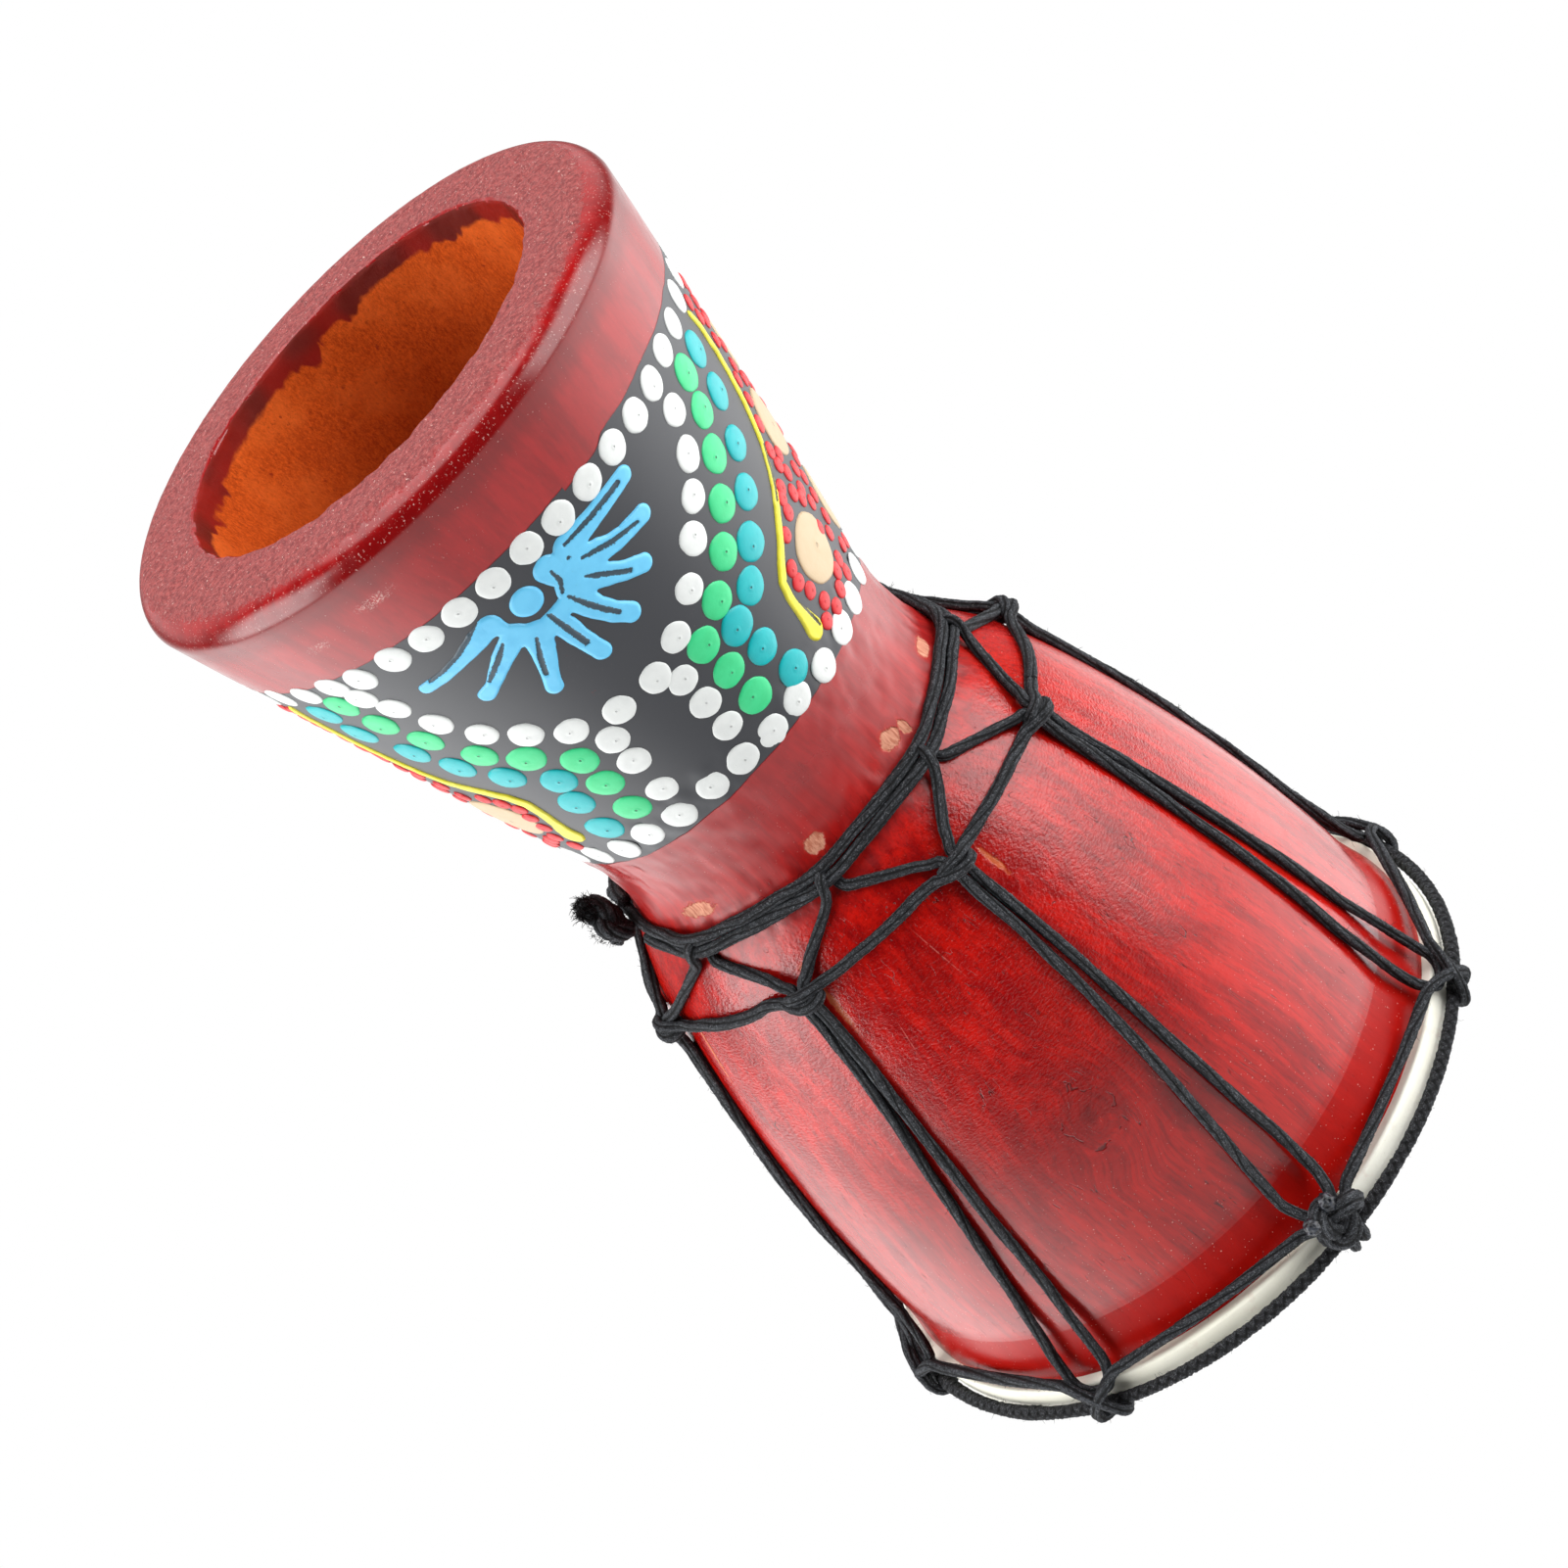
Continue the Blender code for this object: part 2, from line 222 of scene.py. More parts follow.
class Nodes:
    """Builds one material's nodes. place is the point on the object, in mm."""

    def __init__(self, name, tree=None):
        if tree is None:
            self.material = bpy.data.materials.new(name)
            self.material.use_nodes = True
            tree = self.material.node_tree
            self.shader = tree.nodes["Principled BSDF"]
        self.tree = tree

    def add(self, kind, inputs=None, out=0, **settings):
        node = self.tree.nodes.new("ShaderNode" + kind)
        for key, value in settings.items():
            setattr(node, key, value)
        for key, value in (inputs or {}).items():
            self.put(node.inputs[key], value)
        return Value(self, node.outputs[out])

    def put(self, socket, value):
        if isinstance(value, Value):
            self.tree.links.new(value.socket, socket)
        else:
            socket.default_value = value

    def set(self, **sockets):
        for key, value in sockets.items():
            self.put(self.shader.inputs[key.replace("_", " ")], value)
        return self.material

    def place(self):
        at = self.add("TexCoord", out=3)
        return self.add("VectorMath", {0: at, "Scale": 1 / MM}, operation="SCALE")

    def tone(self):
        """The three parts of the colour tone, which each piece of paint or cord carries."""
        return self.split(self.add("VertexColor", layer_name="tone"))

    def split(self, vector):
        parts = self.add("SeparateXYZ", {0: vector}).socket.node.outputs
        return [Value(self, part) for part in parts]

    def join(self, x, y, z):
        return self.add("CombineXYZ", {0: x, 1: y, 2: z})

    def math(self, operation, a, b=0.0):
        return self.add("Math", {0: a, 1: b}, operation=operation)

    def length(self, across, up):
        return self.math("SQRT", across * across + up * up)

    def steps(self, value, low, high, to_low=0.0, to_high=1.0):
        return self.add("MapRange", {0: value, 1: low, 2: high, 3: to_low, 4: to_high},
                        interpolation_type="SMOOTHSTEP")

    def noise(self, vector, scale, detail=2.0, roughness=0.5, distortion=0.0):
        return self.add("TexNoise", {"Vector": vector, "Scale": scale, "Detail": detail,
                                     "Roughness": roughness, "Distortion": distortion})

    def specks(self, place, scale, edge, part, pick):
        """Round specks, one in some of the cells: those where a part of their colour is high."""
        reach, colour = (self.add("TexVoronoi", {"Vector": place, "Scale": scale}, out=out)
                         for out in (0, 1))
        return self.steps(reach, *edge) * self.steps(self.split(colour)[part], *pick)

    def mix(self, share, a, b):
        a, b = ((*x, 1.0) if isinstance(x, tuple) and len(x) == 3 else x for x in (a, b))
        return self.add("Mix", {0: share, 6: a, 7: b}, out=2, data_type="RGBA")

    def coats(self, colour, *coats):
        """The colour under coats laid on in turn, each given as its share and its colour."""
        for share, coat in coats:
            colour = self.mix(share, colour, coat)
        return colour

    def blend(self, share, a, b):
        return self.add("Mix", {0: share, 2: a, 3: b}, data_type="FLOAT")

    def bump(self, height_mm):
        return self.add("Bump", {"Height": height_mm * MM, "Distance": 1.0, "Strength": 1.0})

    def around(self, x, y):
        """Degrees round the axis from -Y towards +X."""
        return self.math("ARCTAN2", x, y * -1.0) * (180 / math.pi)

    def patch(self, degrees, z, at, height, half_width, half_height, ragged, soft=0.25):
        """1 inside a ragged ellipse on the shell's wall, 0 outside. Sizes in mm."""
        across = (degrees - at) * (degree_mm(height) / half_width)
        up = (z - height) * (1 / half_height)
        return self.steps(self.length(across, up) + ragged, 1.0, 1.0 - soft)

    def most(self, values):
        found = values[0]
        for value in values[1:]:
            found = self.math("MAXIMUM", found, value)
        return found


CHIPS = (  # degrees, height, half width and half height of each bare chip by the waist cord
    (-62, 69.9, 1.7, 0.8), (-31.6, 70.2, 0.6, 0.95), (-26, 69.4, 1.25, 1.05),
    (10.0, 70.1, 1.2, 0.95), (52.8, 69.7, 2.3, 1.0), (142, 70.0, 1.6, 0.9),
    (-118, 69.9, 2.0, 0.8), (-165, 70.1, 1.0, 0.8), (-169, 70.3, 0.5, 0.9), (103, 69.9, 1.1, 0.8),
)
WORN = (  # the same for the wood rubbed bare beside the tied pairs
    (-15.0, 85.2, 0.5, 3.0), (31.4, 85.2, 0.55, 4.2), (32.8, 80.0, 0.7, 1.2),
    (75, 87.5, 0.45, 5.5), (125, 84.5, 0.4, 2.2), (-146, 84.4, 0.45, 2.6),
    (-101, 85.0, 0.4, 2.0), (167, 84.8, 0.5, 3.0),
)
SCRATCHES = (  # the same for fine scratches, with how far each leans, in degrees a mm
    (7.0, 87.5, 0.13, 5.5, 0.12), (24.0, 93.0, 0.10, 3.5, -0.3), (-28.0, 101.0, 0.09, 4.0, 0.2),
    (-4.0, 118.0, 0.09, 3.0, 0.5), (58.0, 104.0, 0.10, 5.0, -0.15), (150.0, 96.0, 0.12, 6.0, 0.2),
    (-130.0, 110.0, 0.10, 5.0, -0.25), (-95.0, 92.0, 0.09, 3.5, 0.35),
    (112.0, 120.0, 0.10, 4.0, 0.1),
)
FLUFF = ((27.0, 7.4, 3.4, 1.1), (43.0, 8.6, 2.2, 0.8))  # the same for fluff on the foot's edge
KNOT_AT = (9.4, 113.9)  # the wood's knot


def lacquer_material(name, gloss):
    n = Nodes(name)
    place = n.place()
    x, y, z = n.split(place)
    degrees = n.around(x, y)
    bowl = n.steps(z, 62.0, 78.0)

    # The wood's figure: streaks, pores and cracks along the axis, bent round the knot.
    knot_x = (degrees - KNOT_AT[0]) * (38.1 * math.pi / 180)
    knot_z = (z - KNOT_AT[1]) * 0.72
    reach = n.length(knot_x, knot_z)
    near = n.steps(reach, 8.5, 1.5)
    sway = n.noise(n.join(x, y, z * 0.5), 0.06, 1.0) * 5.0
    bent = x + sway + near * (reach * 0.9)
    along = n.join(bent, y, z * 0.055)
    streaks = n.noise(along, 0.5, 4.0, 0.62)
    fine = n.noise(along, 2.6, 3.0, 0.7)
    rings = n.noise(n.join(reach, n.math("ARCTAN2", knot_x, knot_z) * 0.5, 0.0), 1.3, 3.0, 0.6)
    figure = n.blend(near * 0.55, streaks, rings)
    pores = (n.steps(n.noise(n.join(bent, y, z * 0.16), 3.4, 1.0, 0.4), 0.70, 0.78)
             * n.steps(n.noise(place, 0.09, 1.0), 0.42, 0.62) * bowl)
    cracks = (n.steps(abs(n.noise(n.join(bent, y, z * 0.09), 0.9, 1.0) - 0.5), 0.012, 0.003)
              * n.steps(n.noise(place, 0.28, 1.0), 0.60, 0.70))
    split = (n.steps(abs(reach - 4.6 + n.noise(place, 0.4, 2.0) * 3.0), 0.16, 0.05)
             * n.steps(n.noise(place, 0.55, 2.0), 0.50, 0.56))
    cracks = n.math("MAXIMUM", cracks, split * n.steps(reach, 7.0, 5.0)) * bowl
    eye = n.steps(reach + n.noise(place, 0.9, 2.0) * 1.6, 2.3, 1.2)
    shadow = n.steps(reach, 9.0, 2.0) * n.steps(n.noise(place, 0.25, 2.0), 0.30, 0.62)

    # The lacquer: uneven in colour, browner over the knot; painted shade deepens the rim and the
    # foot's edge.
    blotch = n.noise(n.join(x, y, z * 0.6), 0.055, 3.0, 0.55)
    strokes = n.noise(n.join(x * 0.25, y * 0.25, z), 1.3, 3.0, 0.65)
    uneven = (blotch - 0.5) * 22.0
    brown = (n.steps(degrees + uneven, -20.0, 0.0) * n.steps(degrees + uneven, 128.0, 98.0)
             * n.steps(z + uneven, 94.0, 116.0))
    below = n.steps(z + blotch * 3.0, 136.8, 140.5)
    foot_edge_shade = n.steps(z, 7.5, 4.5) * n.steps(z, 0.8, 2.2)
    deep = n.mix(bowl, (0.245, 0.0032, 0.0040), (0.275, 0.0018, 0.0022))
    bright = n.mix(bowl, (0.33, 0.0052, 0.0058), (0.50, 0.0066, 0.0034))
    colour = n.coats(
        n.mix(n.steps(figure, 0.34, 0.66), deep, bright),
        (n.steps(blotch, 0.50, 0.72) * 0.7 * bowl, (0.56, 0.013, 0.005)),
        (n.steps(blotch, 0.46, 0.28) * (0.2 + bowl * 0.3), (0.115, 0.0015, 0.0022)),
        (n.steps(fine, 0.46, 0.64) * (0.14 + bowl * 0.22), (0.10, 0.0012, 0.0018)),
        (n.steps(strokes, 0.55, 0.75) * (bowl * 0.12), (0.60, 0.03, 0.012)),
        (pores * 0.7, (0.035, 0.0012, 0.0015)),
        (cracks * 0.8, (0.02, 0.001, 0.001)),
        (eye * 0.45, (0.07, 0.0015, 0.002)),
        (shadow * 0.5, (0.13, 0.0035, 0.004)),
        (brown * 0.3, (0.085, 0.0040, 0.0038)),
        # painted shade: a deep red strip below the rim, under the skin's lap
        (below * 0.75, (0.34, 0.0050, 0.0028)),
        # painted shade: a dark red band round the outer side of the foot's rounded edge
        (foot_edge_shade * 0.6, (0.12, 0.0015, 0.0018)),
    )

    # The painted band, between two wavering edges.
    late = n.steps(n.math("FRACT", (degrees + 370.0) * (1 / 180)), 0.93, 0.95)
    wobble = (n.noise(n.join(x * 0.4, y * 0.4, 0.0), 0.5, 3.0) - 0.5) * 0.8
    top_edge = 13.65 + late * 0.55 + wobble
    low_edge = n.math("COSINE", (degrees - 65.0) * (math.pi / 90)) * 0.75 + 58.2 + wobble
    band = (n.steps(z - top_edge, -0.10, 0.10) * n.steps(low_edge - z, -0.10, 0.10)
            * n.steps(n.length(x, y), 22.3, 22.6))
    rub = n.steps(n.noise(n.join(x * 0.5, y * 0.5, z), 0.8, 4.0, 0.7), 0.60, 0.80) * 0.35
    thin_paint_and_top_shade = (n.steps(n.noise(place, 0.5, 3.0, 0.7), 0.70, 0.78)
            * n.steps(n.noise(place, 0.11, 1.0), 0.50, 0.60))
    black = n.mix(rub, (0.0225, 0.0245, 0.0305), (0.044, 0.047, 0.054))
    black = n.mix(thin_paint_and_top_shade * 0.7, black, (0.12, 0.004, 0.004))

    # Wear: bare wood by the cords, pale scratches, dust, and fluff caught on the foot.
    ragged = n.noise(place, 1.1, 3.0, 0.65) * 1.1 - 0.55
    chips = n.most([n.patch(degrees, z, a, h, w * 1.3, u * 1.25, ragged)
                    for a, h, w, u in CHIPS])
    halo = n.most([n.patch(degrees, z, a, h, w * 1.6, u * 1.8, ragged, 0.5)
                   for a, h, w, u in CHIPS])
    worn = n.most([n.patch(degrees, z, *spot, ragged, 0.6) for spot in WORN])
    bare = n.mix(n.steps(fine, 0.35, 0.65), (0.44, 0.130, 0.070), (0.68, 0.31, 0.20))
    scratched = (n.most([n.patch(degrees + z * lean, z, a + h * lean, h, w, u, ragged * 0.3, 0.9)
                         for a, h, w, u, lean in SCRATCHES])
                 * n.steps(n.noise(place, 1.3, 2.0, 0.7), 0.30, 0.55))
    normal_z = n.split(n.add("NewGeometry", out=1))[2]
    dusty = (n.steps(z, 9.0, 1.0) * 0.6 + n.steps(z, 104.0, 146.0, 0.05, 0.8)
             + n.steps(n.noise(place, 0.05, 1.0), 0.5, 0.75, 0.0, 0.5))
    dust = (n.math("MAXIMUM", n.specks(place, 0.85, (0.10, 0.05), 0, (0.45, 0.50)),
                   n.specks(place, 2.3, (0.16, 0.08), 1, (0.66, 0.70)))
            * n.math("MINIMUM", dusty, 1.0) * (1.0 - band * 0.75))
    edge_dust = (n.steps(n.noise(n.join(x * 1.6, y * 1.6, z), 2.2, 3.0, 0.75), 0.62, 0.67)
                 * (n.steps(z, 7.5, 4.0) * n.steps(normal_z, 0.1, -0.2)))
    fluff = (n.steps(n.noise(place, 2.8, 4.0, 0.8, 1.5), 0.53, 0.58)
             * n.most([n.patch(degrees, z, *spot, ragged, 0.8) for spot in FLUFF]))
    colour = n.coats(
        colour,
        (band, black),
        (halo * 0.8, (0.50, 0.02, 0.008)),
        (worn * 0.6, (0.62, 0.17, 0.06)),
        (chips, bare),
        (scratched * 0.5, (0.66, 0.16, 0.13)),
        (dust * 0.55, (0.72, 0.46, 0.40)),
        (edge_dust * 0.6, (0.70, 0.42, 0.38)),
        (fluff * 0.75, (0.75, 0.55, 0.50)),
    )

    # The foot's face: open end grain, turned, rubbed and dusty.
    down = n.steps(normal_z + (n.noise(place, 0.9, 3.0, 0.7) - 0.5) * 0.25, -0.86, -0.97)
    grain = n.noise(place, 1.5, 5.0, 0.75)
    lathe = n.noise(n.join(n.length(x, y), 0.0, 0.0), 2.2, 2.0)
    chatter = n.noise(n.join(degrees * 0.30, lathe, 0.0), 2.0, 2.0, 0.6)
    dents = n.specks(place, 0.55, (0.16, 0.07), 2, (0.60, 0.66))
    straws = n.steps(n.noise(n.join(x * 2.2, y, z), 1.9, 2.0, 0.7, 0.8), 0.665, 0.70)
    face = n.coats(
        n.mix(n.steps(grain, 0.40, 0.62), (0.175, 0.0090, 0.0100), (0.36, 0.058, 0.053)),
        (n.steps(lathe, 0.5, 0.7) * 0.25, (0.15, 0.006, 0.007)),
        (n.steps(n.noise(place, 3.6, 2.0, 0.7), 0.58, 0.72) * 0.55, (0.55, 0.26, 0.24)),
        (n.steps(chatter, 0.55, 0.75) * 0.35, (0.13, 0.010, 0.011)),
        (dents * 0.7, (0.07, 0.004, 0.004)),
        (straws * 0.85, (0.72, 0.52, 0.46)),
    )
    colour = n.mix(down, colour, face)

    rough = 0.145 + n.steps(n.noise(place, 0.6, 3.0), 0.35, 0.75) * 0.09 + pores * 0.25
    rough = n.blend(band, rough, 0.36 + rub * 0.4)
    rough = n.blend(down, rough, 0.58)
    rough = n.blend(below, rough, 0.26)
    rough += n.steps(z, 58.0, 68.0) * n.steps(z, 80.0, 73.0) * 0.20
    rough = n.blend(chips, rough, 0.75)
    rough = n.blend(n.math("MAXIMUM", dust, fluff), rough, 0.8)

    skin = n.noise(place, 1.7, 3.0, 0.55)
    peel = n.noise(n.join(x * 0.8, y * 0.8, z * 1.3), 2.3, 2.0, 0.6)
    peeled = n.steps(z, 73.0, 80.0) * n.steps(z, 122.0, 92.0)
    relief = skin * 0.014 + n.noise(along, 1.6, 3.0, 0.6) * 0.016
    relief *= n.steps(z, 64.0, 86.0, 0.08, 1.0)
    relief += peel * 0.085 * (0.01 + peeled)
    relief += strokes * 0.012 * n.steps(z, 74.0, 82.0, 0.2, 1.0)
    relief += band * 0.05 + dust * 0.03 + down * (grain + chatter) * 0.16
    relief -= pores * 0.020 + cracks * 0.025 + chips * 0.12 + worn * 0.03
    return n.set(Base_Color=colour, Roughness=rough, Normal=n.bump(relief),
                 Specular_IOR_Level=gloss)


def raw_wood_material():
    n = Nodes("raw_bore")
    place = n.place()
    x, y, z = n.split(place)
    degrees = n.around(x, y)
    fibres = n.noise(n.join(x, y, z * 0.45), 3.2, 5.0, 0.9)
    patches = n.noise(place, 0.13, 3.0, 0.6)
    runs = n.noise(n.join(degrees * 0.075, 0.0, z * 0.06), 1.4, 2.0, 0.5)
    ragged = n.noise(n.join(degrees * 0.16, 0.0, z * 0.7), 1.1, 3.0, 0.6) * 1.3
    reach = 2.0 + ragged + n.steps(runs, 0.50, 0.80) * 2.6
    stain = n.steps(z - reach, 0.35, -0.35)
    tinge = n.mix(n.steps(n.noise(place, 0.12, 1.0), 0.4, 0.6), (0.25, 0.0045, 0.0035),
                  (0.12, 0.0055, 0.0055))
    flecks = (n.steps(n.noise(n.join(x, y, z * 0.5), 2.4, 4.0, 0.8), 0.60, 0.66)
              * n.steps(n.noise(place, 0.10, 1.0), 0.45, 0.62))
    spots = n.steps(n.noise(place, 0.9, 2.0, 0.6), 0.70, 0.74) * n.steps(z, 22.0, 3.0)
    colour = n.coats(
        n.mix(n.steps(fibres, 0.30, 0.72), (0.38, 0.043, 0.0036), (0.84, 0.140, 0.014)),
        (n.steps(patches, 0.42, 0.70) * 0.5, (0.86, 0.170, 0.026)),
        (n.steps(n.noise(place, 1.6, 2.0, 0.6), 0.60, 0.72) * 0.35, (0.20, 0.022, 0.003)),
        # painted shade: the bore's wood darker the deeper it goes in
        (n.steps(z, 5.0, 30.0, 0.0, 0.65), (0.27, 0.026, 0.0025)),
        (stain * 0.95, tinge),
        (flecks * 0.55, (0.16, 0.010, 0.003)),
        (spots * 0.7, (0.18, 0.010, 0.006)),
    )
    relief = fibres * 0.13 + n.noise(place, 6.0, 2.0, 0.7) * 0.05
    return n.set(Base_Color=colour, Roughness=n.blend(stain, 0.92, 0.45), Normal=n.bump(relief),
                 Specular_IOR_Level=0.12)


def enamel_material(name, colour, shade, rough=0.34, pit_shade=0.45):
    """Raised paint. A dot's own layout is in the UV map spot and its tone in the colour tone."""
    n = Nodes(name)
    place = n.place()
    u, v, _ = n.split(n.add("UVMap", uv_map="spot"))
    lighter, pit_x, pit_y = n.tone()
    reach = n.length(u - (pit_x - 0.5) * 0.4, v - (pit_y - 0.5) * 0.4)
    pit = n.steps(reach, 0.085, 0.03)
    lip = n.steps(reach, 0.26, 0.06)
    swirl = n.noise(place, 0.7, 2.0, 0.5)
    grime = n.steps(n.noise(place, 2.4, 4.0, 0.8), 0.64, 0.72)
    base = n.coats(
        colour,
        (n.steps(swirl, 0.35, 0.7) * 0.5, shade),
        (lighter * 0.22, shade),
        # painted shade: the small pit in each dot painted dark
        (pit * pit_shade, (0.03, 0.035, 0.04)),
        (grime * 0.35, tuple(c * 0.45 for c in colour)),
    )
    relief = lip * 0.05 - pit * 0.12 + n.noise(place, 2.2, 3.0, 0.6) * 0.022
    return n.set(Base_Color=base, Roughness=rough + swirl * 0.12, Normal=n.bump(relief),
                 Specular_IOR_Level=0.35)


def brush_material(name, colour, shade):
    """Paint with a line scratched through it to the black: the colour tone holds how deep."""
    n = Nodes(name)
    place = n.place()
    cut = n.tone()[0]
    grain = n.noise(place, 3.6, 3.0, 0.7)
    swirl = n.noise(place, 0.5, 2.0, 0.5)
    gone = n.steps(cut + (grain - 0.5) * 1.7, 0.34, 0.58)
    base = n.coats(
        colour,
        (n.steps(swirl, 0.35, 0.7) * 0.6, shade),
        (gone * 0.93, (0.014, 0.015, 0.018)),
    )
    relief = n.noise(place, 1.9, 3.0, 0.6) * 0.02 - gone * 0.10
    return n.set(Base_Color=base, Roughness=0.34 + swirl * 0.1, Normal=n.bump(relief))


def cord_material(name, dark, light):
    """Cotton plies: the colour tone is how far out of the groove between them, and the vector
    weave runs with the fibres."""
    n = Nodes(name)
    place = n.place()
    crest = n.tone()[0]
    weave = n.add("Attribute", out="Vector", attribute_name="weave")
    shorter = n.add("VectorMath", {0: weave, 1: (1.0, 1.0, 3.0)}, operation="MULTIPLY")
    fibres = n.noise(weave, 3.4, 5.0, 0.9)
    strands = n.noise(shorter, 4.4, 5.0, 0.9)
    wax = n.noise(place, 0.7, 3.0, 0.6)
    pale = n.steps(strands, 0.52, 0.62) * n.steps(wax, 0.2, 0.55)
    colour = n.coats(
        n.mix(n.steps(fibres, 0.40, 0.62), dark, light),
        (pale * 0.8, (0.125, 0.135, 0.150)),
        (n.steps(n.noise(place, 4.6, 3.0, 0.85), 0.57, 0.66) * 0.75, (0.23, 0.24, 0.26)),
        (n.steps(strands, 0.47, 0.39) * 0.85, (0.0030, 0.0032, 0.0036)),
        # painted shade: darker down in the grooves between the plies
        (n.steps(crest, 0.55, 0.10), (0.0030, 0.0030, 0.0034)),
        (n.steps(wax, 0.55, 0.75) * 0.15, (0.050, 0.050, 0.053)),
        (n.specks(place, 2.1, (0.13, 0.06), 0, (0.86, 0.9)) * 0.55, (0.36, 0.31, 0.26)),
    )
    relief = fibres * 0.14 + strands * 0.10 + n.steps(crest, 0.1, 0.6) * 0.08
    return n.set(Base_Color=colour, Roughness=0.78, Normal=n.bump(relief),
                 Specular_IOR_Level=0.22)


def lint_material(name, colour):
    n = Nodes(name)
    shade = n.noise(n.place(), 0.8, 2.0)
    return n.set(Base_Color=n.mix(shade, colour, tuple(c * 3 for c in colour)), Roughness=0.9,
                 Specular_IOR_Level=0.1)


def skin_material():
    n = Nodes("stretched_skin")
    place = n.place()
    x, y, z = n.split(place)
    cloud = n.noise(place, 0.045, 4.0, 0.6)
    veins = n.noise(n.join(x * 0.35, y, z), 0.25, 4.0, 0.6, 0.6)
    pores = n.steps(n.noise(place, 3.4, 2.0, 0.6), 0.62, 0.72)
    lap_underside_shade = n.steps(z, 145.3, 144.9) * n.steps(n.length(x, y), 42.6, 41.0)
    thin_paint_and_top_shade = n.mix(n.steps(cloud, 0.38, 0.62), (0.60, 0.57, 0.47), (0.52, 0.48, 0.37))
    smudge = n.steps(n.noise(place, 0.30, 3.0, 0.6), 0.60, 0.74) * n.steps(z, 149.6, 147.5)
    colour = n.coats(
        n.mix(n.steps(cloud, 0.35, 0.68), (0.90, 0.89, 0.80), (0.86, 0.84, 0.71)),
        (n.steps(veins, 0.52, 0.72) * 0.25, (0.78, 0.72, 0.58)),
        (pores * 0.18, (0.60, 0.52, 0.40)),
        # painted shade: the lap's underside, tucked in beneath the head, darker brown
        (lap_underside_shade * 0.35, (0.34, 0.22, 0.15)),
        # painted shade: the top a darker cream than the sides, against the stronger light from
        # above
        (n.steps(z, 149.45, 149.75) * 0.75, thin_paint_and_top_shade),
        (smudge * 0.35, (0.62, 0.45, 0.38)),
    )
    relief = n.noise(place, 1.3, 4.0, 0.6) * 0.05 + veins * 0.06 - pores * 0.015
    return n.set(Base_Color=colour, Roughness=0.42 + cloud * 0.2, Normal=n.bump(relief),
                 Specular_IOR_Level=0.4)


def plain_wood_material():
    n = Nodes("hoop_wood")
    place = n.place()
    x, y, z = n.split(place)
    rings = n.noise(n.join(x, y, z * 6.0), 0.3, 4.0, 0.7)
    colour = n.mix(n.steps(rings, 0.35, 0.7), (0.42, 0.25, 0.12), (0.62, 0.42, 0.24))
    return n.set(Base_Color=colour, Roughness=0.6 + rings * 0.2, Normal=n.bump(rings * 0.1))


def melted_material():
    n = Nodes("melted_ends")
    place = n.place()
    soot = n.noise(place, 1.5, 3.0, 0.6)
    colour = n.mix(n.steps(soot, 0.4, 0.7), (0.008, 0.009, 0.011), (0.05, 0.055, 0.07))
    return n.set(Base_Color=colour, Roughness=0.1 + soot * 0.2, Normal=n.bump(soot * 0.25))


LACQUER = lacquer_material("red_lacquer", 0.5)
DULLED = [lacquer_material(f"red_lacquer_{step}", gloss) for step, gloss in enumerate(DULL_GLOSS)]
RAW = raw_wood_material()
WAXED = cord_material("waxed_cord", (0.0100, 0.0108, 0.0125), (0.036, 0.039, 0.045))
BRAID = cord_material("braided_cord", (0.0070, 0.0070, 0.0080), (0.030, 0.030, 0.034))
LINT = lint_material("cord_lint", (0.007, 0.007, 0.0075))
MELTED = melted_material()
WHITE = enamel_material("white_enamel", (0.70, 0.72, 0.705), (0.61, 0.63, 0.62), 0.34, 0.3)
GREEN = enamel_material("green_enamel", (0.040, 0.58, 0.23), (0.028, 0.50, 0.18), 0.28, 0.75)
TEAL = enamel_material("teal_enamel", (0.006, 0.42, 0.44), (0.004, 0.35, 0.38), 0.28, 0.8)
RED = enamel_material("red_enamel", (0.60, 0.018, 0.024), (0.50, 0.012, 0.015), 0.32)
CREAM = enamel_material("cream_enamel", (0.53, 0.40, 0.25), (0.50, 0.37, 0.22), 0.34, 0.25)
BLUE = brush_material("sky_blue_enamel", (0.125, 0.52, 0.80), (0.10, 0.46, 0.74))
YELLOW = brush_material("yellow_enamel", (0.72, 0.66, 0.030), (0.68, 0.58, 0.018))
SKIN = skin_material()
HOOP_WOOD = plain_wood_material()


# ------------------------ the shell
def shell_relief(radius, z, at):
    """Turned and sanded by hand: softly uneven, but smooth under the painted band."""
    if radius < 26.0 and z > 0.1 or radius < wood_radius(max(z, FOOT_EDGE[1])) - 3.0:
        return 0.2 * fractal(*at, 3.2, 3) if z < 80 else 0.0
    if z < 0.5:
        return 0.03 * fractal(*at, 1.6, 2)
    if z > 146.0:
        return 0.0
    plain = np.interp(z, (4, 12, 16, 74, 84), (1.0, 1.0, 0.0, 0.0, 0.8))
    flare = np.interp(z, FLARE_Z, FLARE_OUT)
    return flare + plain * (0.035 * fractal(*at, 16.0, 1) + 0.010 * fractal(*at, 4.0, 1))


